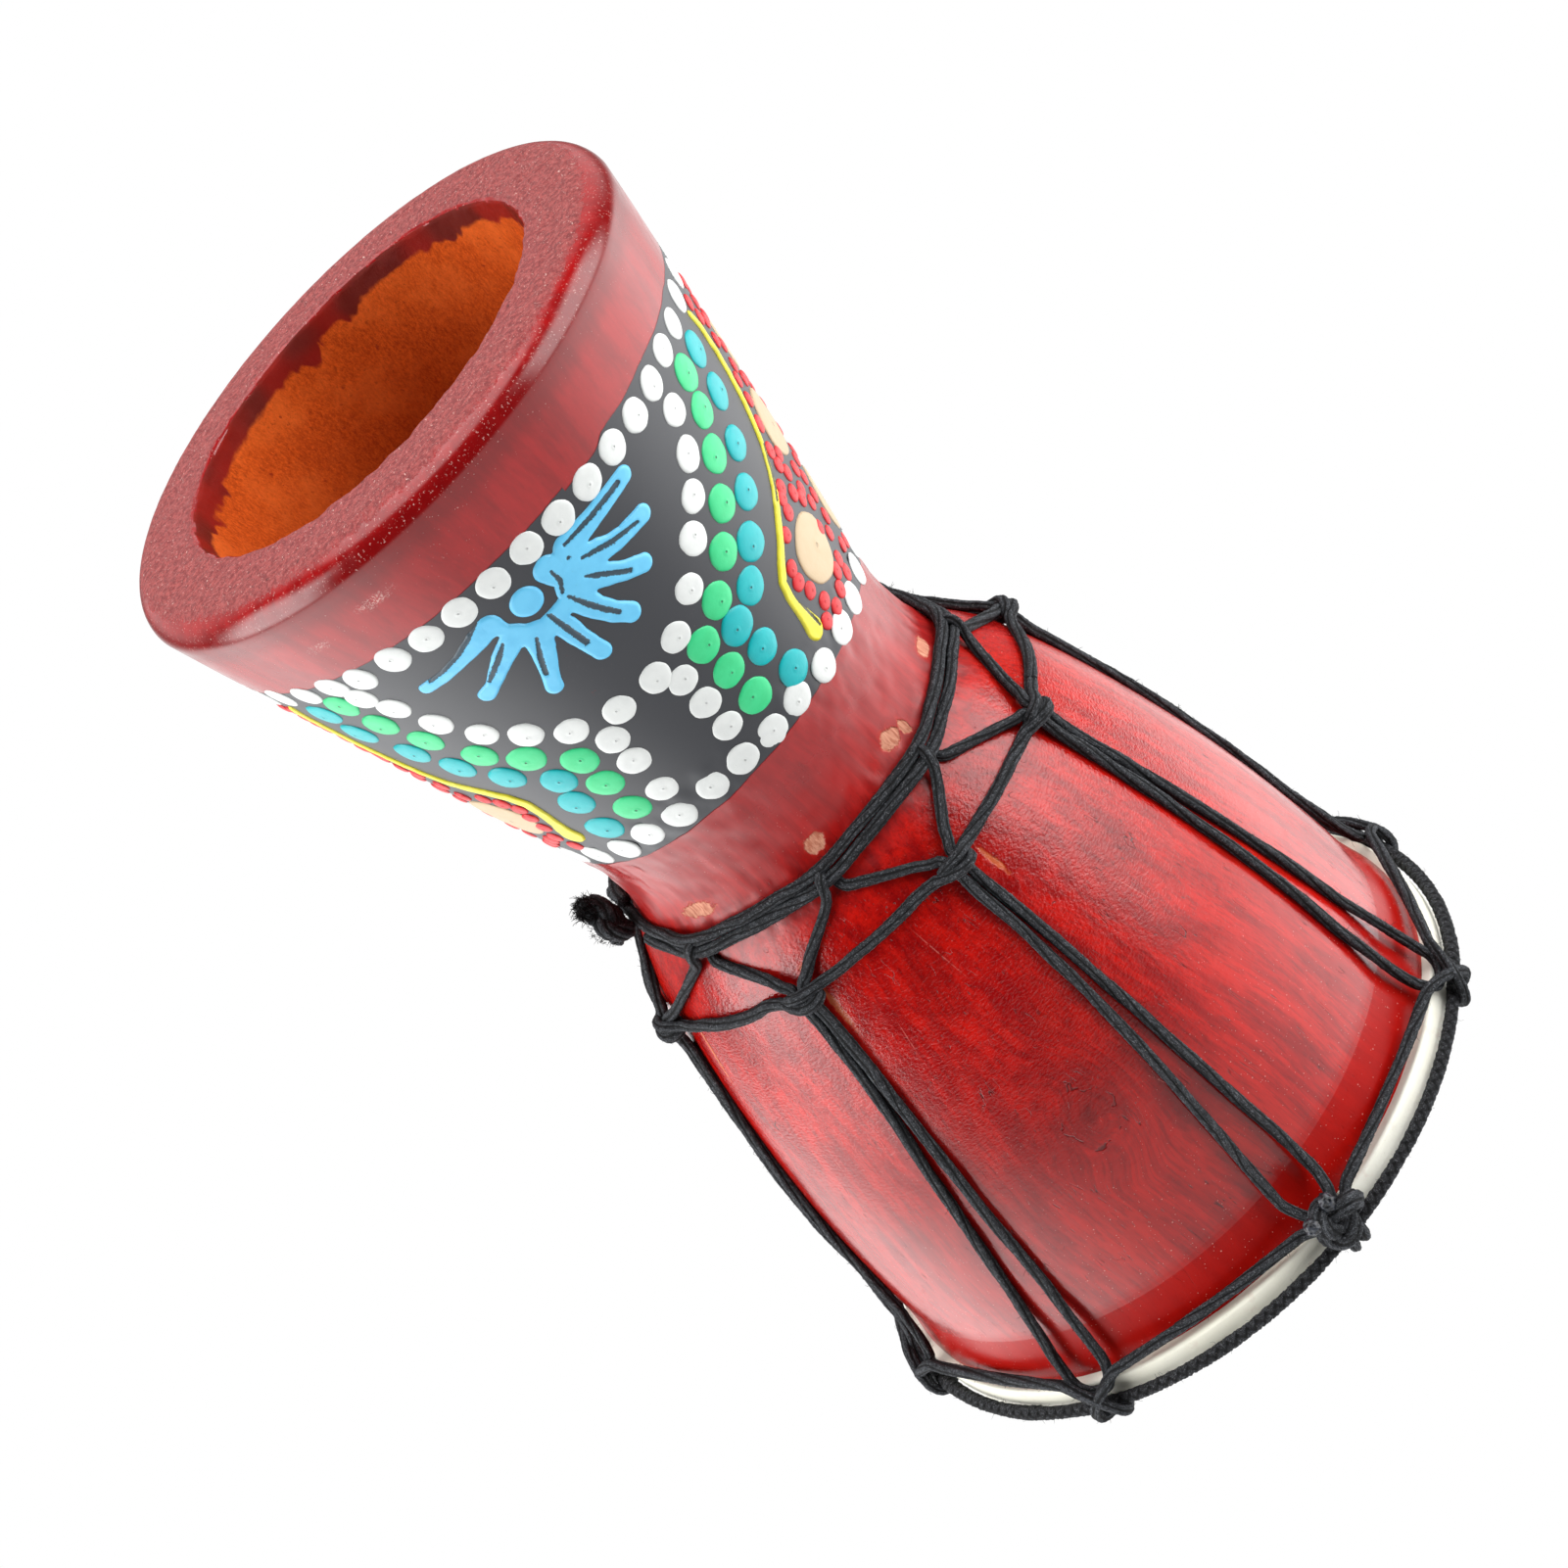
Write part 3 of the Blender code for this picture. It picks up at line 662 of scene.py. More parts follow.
def make_shell():
    rim_z, edge = BEARING_Z - BEARING_ROUND, MOUTH + MOUTH_ROUND
    outer_z = np.linspace(FOOT_EDGE[1], rim_z, 176)[1:-1]
    inner_z = np.linspace(INNER[-1, 0], MOUTH_Z + 0.8, 96)
    outline = np.vstack([
        arc(FOOT_EDGE[:2], *FOOT_EDGE[2:], -90, 0, 12),
        np.stack([wood_radius(outer_z), outer_z], 1),
        arc((OUTER[-1, 1] - BEARING_ROUND, rim_z), BEARING_ROUND, BEARING_ROUND, 0, 90, 10),
        [[BEARING_INSIDE, BEARING_Z]],
        np.stack([np.interp(inner_z, INNER[:, 0], INNER[:, 1]), inner_z], 1),
        arc((edge, MOUTH_ROUND), MOUTH_ROUND, MOUTH_ROUND, 180, 270, 6),
        np.stack([np.linspace(edge, FOOT_EDGE[0], 10)[1:-1], np.zeros(8)], 1),
    ])
    made = turned("shell_wood", outline, LACQUER, 320, shell_relief, sharp=50)
    for finish in (RAW, *DULLED):
        made.data.materials.append(finish)
    for face in made.data.polygons:
        r, z = math.hypot(*face.center[:2]) / MM, face.center[2] / MM
        inside_wall = r < np.interp(z, INNER[:, 0], INNER[:, 1]) + 0.75 and z > 0.35
        dulled = sum(z > edge for edge in DULL_FROM)
        face.material_index = 1 if inside_wall else dulled + (dulled > 0)
    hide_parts("shell")
    return made


# ------------------------ paint
def on_cone(degrees, z, height):
    """The point on the shell's outside at a height in mm over the lacquer."""
    slope = wood_slope(z)
    lean = 1 / np.sqrt(1 + slope ** 2)
    return polar(degrees, wood_radius(z) + height * lean, z - height * slope * lean)


TOP_WHITE = (
    (-63.8, 0.465), (-54.5, 0.46), (-46.2, 0.455), (-38, 0.46), (-30.2, 0.46), (-22.2, 0.455),
    (-14, 0.455), (-5.7, 0.45), (2.2, 0.435), (10.9, 0.44), (19.2, 0.44), (27.4, 0.44),
    (35.5, 0.435), (44.6, 0.435), (51.6, 0.425), (60, 0.42), (69, 0.42), (-72.8, 0.462),
    (77.8, 0.43), (86.5, 0.45), (98.5, 0.455),
)
LOW_WHITE = (
    (-65, 1.63), (-51.5, 1.62), (-40, 1.61), (-27.2, 1.61), (-15.2, 1.59), (-4.8, 1.59),
    (5.7, 1.58), (16.2, 1.58), (28.4, 1.59), (39.8, 1.59), (50.4, 1.61), (61.8, 1.615),
    (-77.5, 1.625), (73.5, 1.62), (84.5, 1.62), (-88.5, 1.62),
)
PANEL_WHITE = (
    (50, 0.51), (47.3, 0.605), (-38.6, 0.59), (-34.4, 0.71), (-28.8, 0.81), (-22.4, 0.895),
    (-14.2, 0.99), (-4.8, 1.06), (1, 1.19), (1.4, 1.315), (2, 1.445), (44.6, 0.745), (40, 0.87),
    (33.4, 0.965), (26, 1.05), (21.8, 1.18), (23, 1.295), (25, 1.455), (4.6, 1.11), (15.2, 1.10),
)
GREEN_SPOTS = (
    (-48.2, 0.575), (-45.2, 0.695), (-40.2, 0.81), (-33.4, 0.92), (-25.8, 1.02), (-17, 1.10),
    (-7.8, 1.165), (-7.8, 1.30), (-8, 1.45), (56.4, 0.52), (55.2, 0.655), (51.8, 0.795),
    (46.4, 0.945), (39.2, 1.05), (31.2, 1.17), (32.6, 1.305), (34.6, 1.455),
)
TEAL_SPOTS = (
    (-56.6, 0.595), (-54, 0.735), (-48, 0.88), (-41, 0.99), (-33, 1.095), (-25.4, 1.18),
    (-16.4, 1.225), (-17.6, 1.355), (-20, 1.505), (64.8, 0.545), (65, 0.68), (59.8, 0.835),
    (55, 0.965), (48.2, 1.085), (39.8, 1.20), (43.2, 1.32), (46.4, 1.48),
)
CREAM_SPOTS = ((-49.6, 1.37), (-71, 1.055), (-80, 1.43), (70, 1.31), (94.5, 0.80))
RED_SPOTS = (
    (-49, 1.20), (-50.3, 1.155), (-37.8, 1.30), (-36.9, 1.353), (-38.5, 1.417), (-40.5, 1.49),
    (-43, 1.55), (-37, 1.54), (-48.8, 1.545), (-52.5, 1.51), (-56.8, 1.565), (-57.5, 1.375),
    (-58.5, 1.255), (-56, 1.205), (-59.8, 1.16), (-52.5, 1.14), (-58.8, 1.05), (-58, 1.105),
    (-62.5, 0.98), (64.2, 1.165), (60.8, 1.205), (58.8, 1.26), (60.2, 1.32), (62, 1.395),
    (65, 1.465), (63.5, 1.535), (69, 1.485), (-57, 1.505), (-62, 1.10), (-61.5, 1.245),
)
HILL_EDGE = (  # the yellow line's inner side, as height and degrees on each side of the hill
    (0.45, -64.5, 71.5), (0.60, -67.5, 75.5), (0.75, -67.0, 76.0), (0.87, -65.0, 73.5),
    (0.99, -60.0, 70.5), (1.06, -56.0, 67.0), (1.12, -50.5, 62.5), (1.20, -42.0, 58.5),
    (1.27, -35.5, 57.0), (1.35, -34.5, 59.0), (1.45, -36.5, 61.5), (1.56, -36.5, 62.0),
)


def fill_hill(taken, seed, width=2.1, room=1.28):
    """Small dots where the hill is still bare, packed as a hand would: close, never touching."""
    rng = random.Random(seed)
    heights, left_edge, right_edge = np.array(HILL_EDGE).T
    made = []
    for _ in range(5000):
        t = rng.uniform(0.505, 1.565)
        left = np.interp(t, heights, left_edge)
        right = np.interp(t, heights, right_edge) - 180
        degrees = rng.uniform(right + 2.2, left - 2.2)
        z, scale = t * UNIT, degree_mm(t * UNIT)
        if all(math.hypot(((a - degrees + 90) % 180 - 90) * scale, up * UNIT - z) > w / 2 + room
               for a, up, w in taken + made):
            made.append((degrees, t, width))
    return made


def dots(name, spots, finish, height, seed, full, segments=30, sunk=-0.08):
    """Drops of thick paint: (degrees, height in units, width in mm), on both sides."""
    rng = random.Random(seed)
    shares = np.array([0.10, 0.22, 0.38, 0.55, 0.72, 0.85, 0.94, 0.985, 1.0])
    points, faces, uvs, tones = [], [], [], []
    turns = np.arange(segments) * math.tau / segments
    for half in (0, 180):
        for degrees, t, width in spots:
            z0, start = t * UNIT + rng.uniform(-0.12, 0.12), len(points)
            scale = degree_mm(z0)
            size = width / 2 * rng.uniform(0.96, 1.05)
            squash, lean = rng.uniform(-0.045, 0.045), rng.uniform(0, math.tau)
            phases = [rng.uniform(0, math.tau) for _ in range(4)]
            edge = 1 + squash * np.cos(2 * (turns - lean))
            for waves, deep, phase in zip((3, 5, 9), (0.014, 0.011, 0.007), phases):
                edge += deep * np.cos(waves * turns + phase)
            edge *= size
            tone = (rng.random(), rng.random(), rng.random(), 1.0)
            tall = height * rng.uniform(0.85, 1.15)

            def add_centre(lift):
                points.append(on_cone(degrees + half, z0, lift))
                uvs.append((0.0, 0.0))

            def add_ring(share, lift):
                u, v = edge * share * np.cos(turns), edge * share * np.sin(turns)
                points.extend(on_cone(degrees + half + u / scale, z0 + v, lift))
                uvs.extend(zip(share * np.cos(turns), share * np.sin(turns)))

            add_centre(tall)
            for share in shares:
                add_ring(share, tall * (1 - share ** full) ** 0.5)
            add_ring(1.0, sunk)
            add_centre(sunk)
            last = len(points) - 1
            faces += fan(start, start + 1, segments)
            faces += grid_faces(len(shares) + 1, segments, start=start + 1)
            faces += fan(last, last - segments, segments, True)
            tones += [tone] * (len(points) - start)
    made = make_mesh(name, points, faces, finish)
    fix_normals(made)
    vertex_of = np.empty(len(made.data.loops), np.int32)
    made.data.loops.foreach_get("vertex_index", vertex_of)
    layer = made.data.uv_layers.new(name="spot")
    layer.data.foreach_set("uv", np.asarray(uvs, np.float32)[vertex_of].ravel())
    write_tones(made.data, tones)
    return made


BLUE_STROKES = [  # each is a list of (degrees, height in units, half width in mm)
    [(2.5, 0.541, 1.60), (1.9, 0.605, 1.2), (3.2, 0.675, 1.5), (5.8, 0.679, 1.15),
     (8.7, 0.686, 1.25), (11.3, 0.692, 1.4), (14.6, 0.660, 1.45), (16.4, 0.595, 0.80),
     (17.8, 0.546, 1.33)],
    [(-20.1, 0.541, 1.08), (-10.2, 0.541, 1.28), (-4.5, 0.541, 1.52), (-2.9, 0.541, 1.66)],
    [(-17.7, 0.682, 1.14), (-15.7, 0.677, 1.16), (-12, 0.669, 1.13), (-8.7, 0.654, 1.3),
     (-6.3, 0.637, 1.6), (-2, 0.615, 2.0)],
    [(-11.1, 0.793, 1.13), (-7.4, 0.757, 1.2), (-4.5, 0.7165, 1.4), (-1.5, 0.665, 1.8)],
    [(-2.2, 0.873, 1.27), (-0.1, 0.827, 1.28), (1.7, 0.768, 1.38), (2.6, 0.700, 1.7)],
    [(7.5, 0.893, 1.18), (7.95, 0.85, 1.15), (8.3, 0.80, 1.24), (8.5, 0.74, 1.38)],
    [(19.7, 0.874, 1.06), (18.9, 0.85, 1.0), (16.4, 0.783, 1.2), (14.7, 0.735, 1.5),
     (13.6, 0.69, 1.6)],
    [(30.2, 0.744, 1.02), (27.6, 0.728, 0.88), (25, 0.7035, 1.0), (21.3, 0.668, 1.28),
     (17.4, 0.640, 1.45)],
    [(37.2, 0.596, 0.80), (31.7, 0.591, 0.86), (26.9, 0.579, 0.96), (21.3, 0.556, 1.38),
     (17.8, 0.546, 1.33)],
    [(9.62, 0.571, 1.87)],
]
BLUE_CUTS = [
    [(-18, 0.536, 0.20), (-10, 0.532, 0.18), (-2.8, 0.524, 0.06)],
    [(-15.7, 0.679, 0.08), (-9.4, 0.648, 0.18), (-6.5, 0.627, 0.18), (-3.3, 0.603, 0.04)],
    [(-8.1, 0.768, 0.14), (-5.7, 0.731, 0.16), (-2.8, 0.683, 0.18), (-1.3, 0.657, 0.02)],
    [(-0.6, 0.835, 0.17), (0.9, 0.79, 0.20), (2.4, 0.731, 0.20), (3.7, 0.661, 0.04)],
    [(8.2, 0.827, 0.24), (8.5, 0.753, 0.22), (8.8, 0.664, 0.13)],
    [(18.5, 0.813, 0.16), (16.5, 0.753, 0.18), (13.9, 0.690, 0.03)],
    [(27.2, 0.705, 0.04), (24.3, 0.679, 0.17), (21.3, 0.651, 0.20), (18.9, 0.624, 0.02)],
    [(35, 0.577, 0.05), (30.6, 0.568, 0.16), (26.1, 0.550, 0.24), (22.4, 0.526, 0.22),
     (19.1, 0.506, 0.05)],
    [(2.4, 0.553, 0.01), (2.4, 0.598, 0.14), (3.9, 0.635, 0.05)],
    [(-1.6, 0.566, 0.10)],
]
YELLOW_LEFT = [
    [(-64.2, 0.54, 0.42), (-65.5, 0.60, 0.56), (-65.4, 0.70, 0.58), (-64.5, 0.78, 0.57),
     (-62, 0.88, 0.55), (-59.5, 0.945, 0.52), (-56.5, 1.01, 0.50), (-52.5, 1.07, 0.56),
     (-49, 1.115, 0.62), (-45, 1.155, 0.62), (-40, 1.21, 0.64), (-36, 1.25, 0.72),
     (-33, 1.29, 0.78), (-31.9, 1.34, 0.78), (-31.7, 1.39, 0.84), (-32.0, 1.445, 1.25),
     (-32.1, 1.495, 1.72)],
]
YELLOW_RIGHT = [
    [(73.5, 0.50, 0.5), (75, 0.56, 0.62), (75.3, 0.65, 0.64), (74.8, 0.75, 0.64),
     (73, 0.84, 0.62), (71, 0.91, 0.62), (69, 0.975, 0.62), (66, 1.04, 0.62),
     (62.5, 1.085, 0.66), (59, 1.13, 0.70), (55.7, 1.185, 0.82), (54.1, 1.24, 0.88),
     (54.6, 1.31, 0.84), (56, 1.385, 0.95), (57.2, 1.43, 1.35), (57.5, 1.465, 1.72)],
]
YELLOW_CUTS = [
    [(-57.0, 1.005, 0.02), (-54.0, 1.05, 0.10), (-50.5, 1.10, 0.12), (-47.5, 1.13, 0.02)],
    [(-34.0, 1.30, 0.02), (-33.2, 1.37, 0.12), (-33.6, 1.44, 0.16), (-33.9, 1.51, 0.06)],
]


def write_tones(mesh, tones):
    colours = mesh.color_attributes.new("tone", "FLOAT_COLOR", "POINT")
    colours.data.foreach_set("color", np.asarray(tones, np.float32).ravel())


def stroke_distance(x, y, strokes, blend):
    """Signed distance in mm to the strokes, joined with small fillets."""
    found = np.full(x.shape, 9.0)
    for stroke in strokes:
        near = np.full(x.shape, 9.0)
        pts = [(math.radians(a) * BAND_RADIUS, t * UNIT, w) for a, t, w in stroke]
        for (x0, y0, w0), (x1, y1, w1) in zip(pts, pts[1:] or pts):
            span = (x1 - x0) ** 2 + (y1 - y0) ** 2 + 1e-12
            share = np.clip(((x - x0) * (x1 - x0) + (y - y0) * (y1 - y0)) / span, 0, 1)
            gap = np.hypot(x - x0 - share * (x1 - x0), y - y0 - share * (y1 - y0))
            near = np.minimum(near, gap - (w0 + (w1 - w0) * share))
        if blend:
            mixed = np.clip(0.5 + 0.5 * (found - near) / blend, 0, 1)
            found = found * (1 - mixed) + near * mixed - blend * mixed * (1 - mixed)
        else:
            found = np.minimum(found, near)
    return found


BAND_RADIUS = 31.4  # mm, the shell's radius where most of the brush work is


def spread(values, count, gap):
    """count rows out of a table that holds every gapth of them, the rest in between."""
    at = np.arange(count) / gap
    return np.stack([np.interp(at, np.arange(len(values)), column) for column in values.T], 1)


def all_corners(flags):
    """The cells of a grid whose four corners are all set."""
    return flags[:-1, :-1] & flags[1:, :-1] & flags[:-1, 1:] & flags[1:, 1:]


def brushed(name, strokes, cuts, finish, blend, seed):
    """Brush work as one raised sheet, cut from a fine grid along its outline, on both sides."""
    height, cell, margin, coarse = 0.26, 0.13, 2.6, 4
    turns, units, _ = np.array([spot for stroke in strokes for spot in stroke]).T
    low_x, high_x = (math.radians(f(turns)) * BAND_RADIUS for f in (min, max))
    xs = np.arange(low_x - margin, high_x + margin, cell)
    ys = np.arange(min(units) * UNIT - margin, max(units) * UNIT + margin, cell)
    points, faces, tones = [], [], []
    for half in (0, 180):
        x, y = np.meshgrid(xs, ys, indexing="ij")
        wander = np.array([[fractal(a, b, half, 1.6, 2, seed) for b in ys[::coarse]]
                           for a in xs[::coarse]])
        wander = spread(spread(wander, len(xs), coarse).T, len(ys), coarse).T
        gap = stroke_distance(x, y, strokes, blend) + 0.07 * wander
        slope_x, slope_y = np.gradient(gap, cell)
        inside = gap < 0
        quads = all_corners(inside)
        used, full = np.zeros_like(inside), np.zeros_like(inside)
        for i, j in ((0, 0), (1, 0), (0, 1), (1, 1)):
            used[i:len(xs) - 1 + i, j:len(ys) - 1 + j] |= quads
        full[1:-1, 1:-1] = all_corners(quads)
        edge = used & ~full
        steep = np.hypot(slope_x, slope_y) + 1e-6
        reach = np.where(edge, -gap, 0.0)
        x, y = x + reach * slope_x / steep, y + reach * slope_y / steep
        depth = np.where(edge, 0.0, -gap)
        lift = height * np.sqrt(np.clip(1 - (1 - np.clip(depth / 0.55, 0, 1)) ** 2, 0, 1))
        cut = np.clip(0.95 - stroke_distance(x, y, cuts, 0) / 0.30, 0, 1)
        lift = lift * (1 + 0.25 * wander) * (1 - 0.55 * cut) + 0.02
        number = np.full(inside.shape, -1)
        count, start = int(used.sum()), len(points)
        number[used] = np.arange(count)
        turns = np.degrees(x[used] / BAND_RADIUS) + half
        points.extend(on_cone(turns, y[used], lift[used]))
        points.extend(on_cone(turns, y[used], np.full(count, -0.06)))
        tones.extend([(c, 0, 0, 1) for c in cut[used]] * 2)
        i, j = np.nonzero(quads)
        corners = (number[i, j], number[i + 1, j], number[i + 1, j + 1], number[i, j + 1])
        top = np.stack(corners, 1) + start
        faces += top.tolist() + (top[:, ::-1] + count).tolist()
        sides = np.concatenate([np.stack(pair, 1)
                                for pair in zip(corners, corners[1:] + corners[:1])])
        key, back = (sides.astype(np.int64) @ way for way in ((count, 1), (1, count)))
        a, b = (sides[~np.isin(key, back)] + start).T
        faces += np.stack([b, a, a + count, b + count], 1).tolist()
    made = make_mesh(name, points, faces, finish)
    fix_normals(made)
    write_tones(made.data, tones)
    return made


def paint_pieces():
    white, low_white, green, teal, cream, red = (
        [(degrees, t, width) for degrees, t in spots] for spots, width in (
            (TOP_WHITE + PANEL_WHITE, 3.85), (LOW_WHITE, 3.98), (GREEN_SPOTS, 4.3),
            (TEAL_SPOTS, 4.45), (CREAM_SPOTS, 8.7), (RED_SPOTS, 2.15)))
    white += low_white
    red += fill_hill(white + green + teal + cream + red, 11)
    return [
        dots("white_dots", white, WHITE, 0.24, 1, full=6.0),
        dots("green_dots", green, GREEN, 0.34, 2, full=2.6),
        dots("teal_dots", teal, TEAL, 0.38, 3, full=2.4),
        dots("cream_discs", cream, CREAM, 0.24, 4, full=14.0),
        dots("red_dots", red, RED, 0.30, 5, full=2.6),
        brushed("blue_motif", BLUE_STROKES, BLUE_CUTS, BLUE, blend=0.5, seed=3.0),
        brushed("yellow_line_left", YELLOW_LEFT, YELLOW_CUTS, YELLOW, blend=0, seed=5.0),
        brushed("yellow_line_right", YELLOW_RIGHT, [], YELLOW, blend=0, seed=7.0),
    ]


# ------------------------ cords
def smooth_path(points, step, soft, closed=False):
    """Points every step mm along the route in mm, its corners rounded over about soft mm."""
    p = np.asarray(points, float)
    if closed:
        p = np.vstack([p, p[:1]])
    lengths = np.r_[0, np.cumsum(np.linalg.norm(np.diff(p, axis=0), axis=1))]
    s = np.linspace(0, lengths[-1], int(lengths[-1] / step) + 1)
    dense = np.stack([np.interp(s, lengths, p[:, k]) for k in range(3)], 1)
    reach = int(4 * soft / step)
    kernel = np.exp(-0.5 * (np.arange(-reach, reach + 1) * step / soft) ** 2)
    kernel /= kernel.sum()
    if closed:
        dense = dense[:-1]
        padded = np.vstack([dense[-reach:], dense, dense[:reach]])
    else:
        padded = np.vstack([2 * dense[0] - dense[reach:0:-1], dense,
                            2 * dense[-1] - dense[-2:-reach - 2:-1]])
    return np.stack([np.convolve(padded[:, k], kernel, "valid") for k in range(3)], 1)


def frames_along(path, closed):
    """Tangent and two side vectors at each point, turned as little as possible."""
    tangent = np.roll(path, -1, 0) - np.roll(path, 1, 0)
    if not closed:
        tangent[0], tangent[-1] = path[1] - path[0], path[-1] - path[-2]
    tangent /= np.linalg.norm(tangent, axis=1)[:, None]
    side = np.cross(tangent[0], (0.3, 0.2, 0.9))
    side /= np.linalg.norm(side)
    sides = []
    for t in tangent:
        side = side - t * (side @ t)
        side = side / np.linalg.norm(side)
        sides.append(side)
    sides = np.array(sides)
    return tangent, sides, np.cross(tangent, sides)


def rope(name, path, radius, seed, plies=4, pitch=55.0, closed=False, loose=0.05):
    """A waxed cord along the path in mm: a few soft plies laid at a long pitch, worn, uneven."""
    around, depth = 28, 0.17
    rng = np.random.default_rng(seed)
    count = len(path)
    step = np.linalg.norm(np.roll(path, -1, 0) - path, axis=1)
    s = np.r_[0, np.cumsum(step[:-1])][:, None]
    length = s[-1, 0] + (step[-1] if closed else 0)
    _, side, up = frames_along(path, closed)
    turns = round(length / pitch) if closed else length / pitch

    def wander(size, scale):
        values = rng.normal(0, size, max(4, int(length / scale)))
        if closed:
            values = np.r_[values, values[0]]
        return np.interp(s, np.linspace(0, length, len(values)), values)

    phi = np.arange(around) * math.tau / around
    twist = math.tau * turns * s / length + wander(0.35, 6.0)
    if closed:  # the untwisted frame comes back turned, so the twist makes up for it
        twist -= math.atan2(side[0] @ up[-1], side[0] @ side[-1]) * s / length
    theta = phi - twist
    lobe = np.abs(np.cos(plies / 2 * theta + wander(0.25, 8.0)))
    minor = np.abs(np.cos(plies * 1.5 * theta + wander(0.9, 4.0)))
    thick = 1 + wander(0.045, 4.0)
    squash = 1 + wander(0.05, 7.0) * np.cos(2 * phi)
    shape = thick * squash * (1 - depth + depth * 1.3 * lobe ** 0.6 + 0.05 * minor)
    shape += rng.normal(0, 0.034, shape.shape)
    centre = path + side * wander(loose, 6.0) + up * wander(loose, 6.0)
    ring = np.cos(phi)[:, None] * side[:, None] + np.sin(phi)[:, None] * up[:, None]
    points = (centre[:, None] + (radius * shape)[..., None] * ring).reshape(-1, 3)
    crest = (lobe * (0.55 + 0.45 * minor)).reshape(-1)
    weave = np.stack([radius * np.cos(theta), radius * np.sin(theta),
                      np.broadcast_to(0.14 * s, theta.shape)], -1).reshape(-1, 3)
    faces = grid_faces(count, around, wrap_rows=closed)
    if not closed:
        first = len(points)
        points = np.vstack([points, centre[:1], centre[-1:]])
        crest, weave = np.r_[crest, 1, 1], np.vstack([weave, weave[:1], weave[-1:]])
        faces += fan(first, 0, around, True) + fan(first + 1, (count - 1) * around, around)
    made = make_mesh(name, points, faces, WAXED)
    fix_normals(made)
    write_weave(made.data, crest, weave)
    return made


def write_weave(mesh, crest, weave):
    tones = np.ones((len(crest), 4), np.float32)
    tones[:, :3] = crest[:, None]
    write_tones(mesh, tones)
    mesh.attributes.new("weave", "FLOAT_VECTOR", "POINT").data.foreach_set(
        "vector", np.asarray(weave, np.float32).ravel())


def lint(name, spots, seed, thick=0.022):
    """Loose fibres: (root point, direction, length in mm) each, curling away."""
    rng = np.random.default_rng(seed)
    points, faces = [], []
    steps, sides = 6, 3
    for root, direction, length in spots:
        curl = rng.normal(0, 0.55, 3)
        at, heading = np.array(root, float), direction / (np.linalg.norm(direction) + TINY)
        start = len(points)
        for k in range(steps):
            side = np.cross(heading, (0.31, 0.27, 0.91))
            side /= np.linalg.norm(side) + TINY
            up = np.cross(heading, side)
            size = thick * (1 - 0.6 * k / (steps - 1))
            for turn in np.arange(sides) * math.tau / sides:
                points.append(at + size * (math.cos(turn) * side + math.sin(turn) * up))
            at = at + heading * length / (steps - 1)
            curl = curl + rng.normal(0, 0.35, 3)
            heading = heading + curl * 0.5
            heading /= np.linalg.norm(heading)
        last = start + sides * (steps - 1)
        faces += grid_faces(steps, sides, start=start)
        faces += [(start + 2, start + 1, start), (last, last + 1, last + 2)]
    return make_mesh(name, points, faces, LINT)


def fuzz_along(path, radius, per_mm, seed, longest):
    """Roots and directions for the fibres that stand off a cord."""
    rng = np.random.default_rng(seed)
    length = np.linalg.norm(np.diff(path, axis=0), axis=1).sum()
    tangent, side, up = frames_along(path, False)
    made = []
    for _ in range(int(length * per_mm)):
        i = int(rng.integers(1, len(path) - 1))
        turn = rng.uniform(0, math.tau)
        out = math.cos(turn) * side[i] + math.sin(turn) * up[i]
        lean = tangent[i] * rng.normal(0, 1.4)
        made.append((path[i] + out * radius * 0.9, out + lean,
                     0.25 + rng.random() ** 2 * longest))
    return made


def on_wood(degrees, z, lift=CORD_RADIUS):
    return polar(degrees, wood_radius(z) + lift * 0.97, z)


def around_from(middle, shape):
    """Points given as degrees past the middle, radius and height."""
    return [polar(middle + turn, radius, z) for turn, radius, z in shape]


def next_shoulder(cell):
    return SHOULDER_ANGLES[(cell + 1) % CELLS] + (360 if cell == CELLS - 1 else 0)


def knot_height(cell):
    return SHOULDER_Z + SHOULDER_RISE[cell % CELLS]


def rising_strand(cell, side):
    foot, head, knot = SHOULDER_ANGLES[cell], RIM_ANGLES[cell], knot_height(cell)
    shape = ((knot - 1.0, 0.0, 1.0, 1.5), (knot, 0.0, 0.95, 1.75), (knot + 1.4, 0.0, 0.9, 1.5),
             (knot + 4.5, 0.01, 0.95, 0.8), (92.0, 0.03, 0.95, CORD_RADIUS),
             (100.0, 0.1, 1.15, CORD_RADIUS), (110.0, 0.3, 1.6, CORD_RADIUS),
             (119.0, 0.5, 2.0, CORD_RADIUS), (129.0, 0.74, 2.55, CORD_RADIUS))
    ends = ((4.2, 42.1, 139.5), (4.1, 42.8, 142.2))
    if cell == KNOT_CELL:
        ends = (ends[0], (3.0, 43.6, 141.7), (1.2, 44.6, 143.4))
    return [on_wood(foot + (head - foot) * share + side * STRAND_HALF * out, z, lift)
            for z, share, out, lift in shape] + around_from(
                head, [(side * turn, radius, z) for turn, radius, z in ends])


def bight(cell):
    return around_from(RIM_ANGLES[cell], (
        (-3.5, 43.7, 143.9), (-2.3, 44.0, 145.0), (-0.8, 44.0, 145.5),
        (0.8, 44.0, 145.5), (2.3, 44.0, 145.0), (3.5, 43.7, 143.9)))


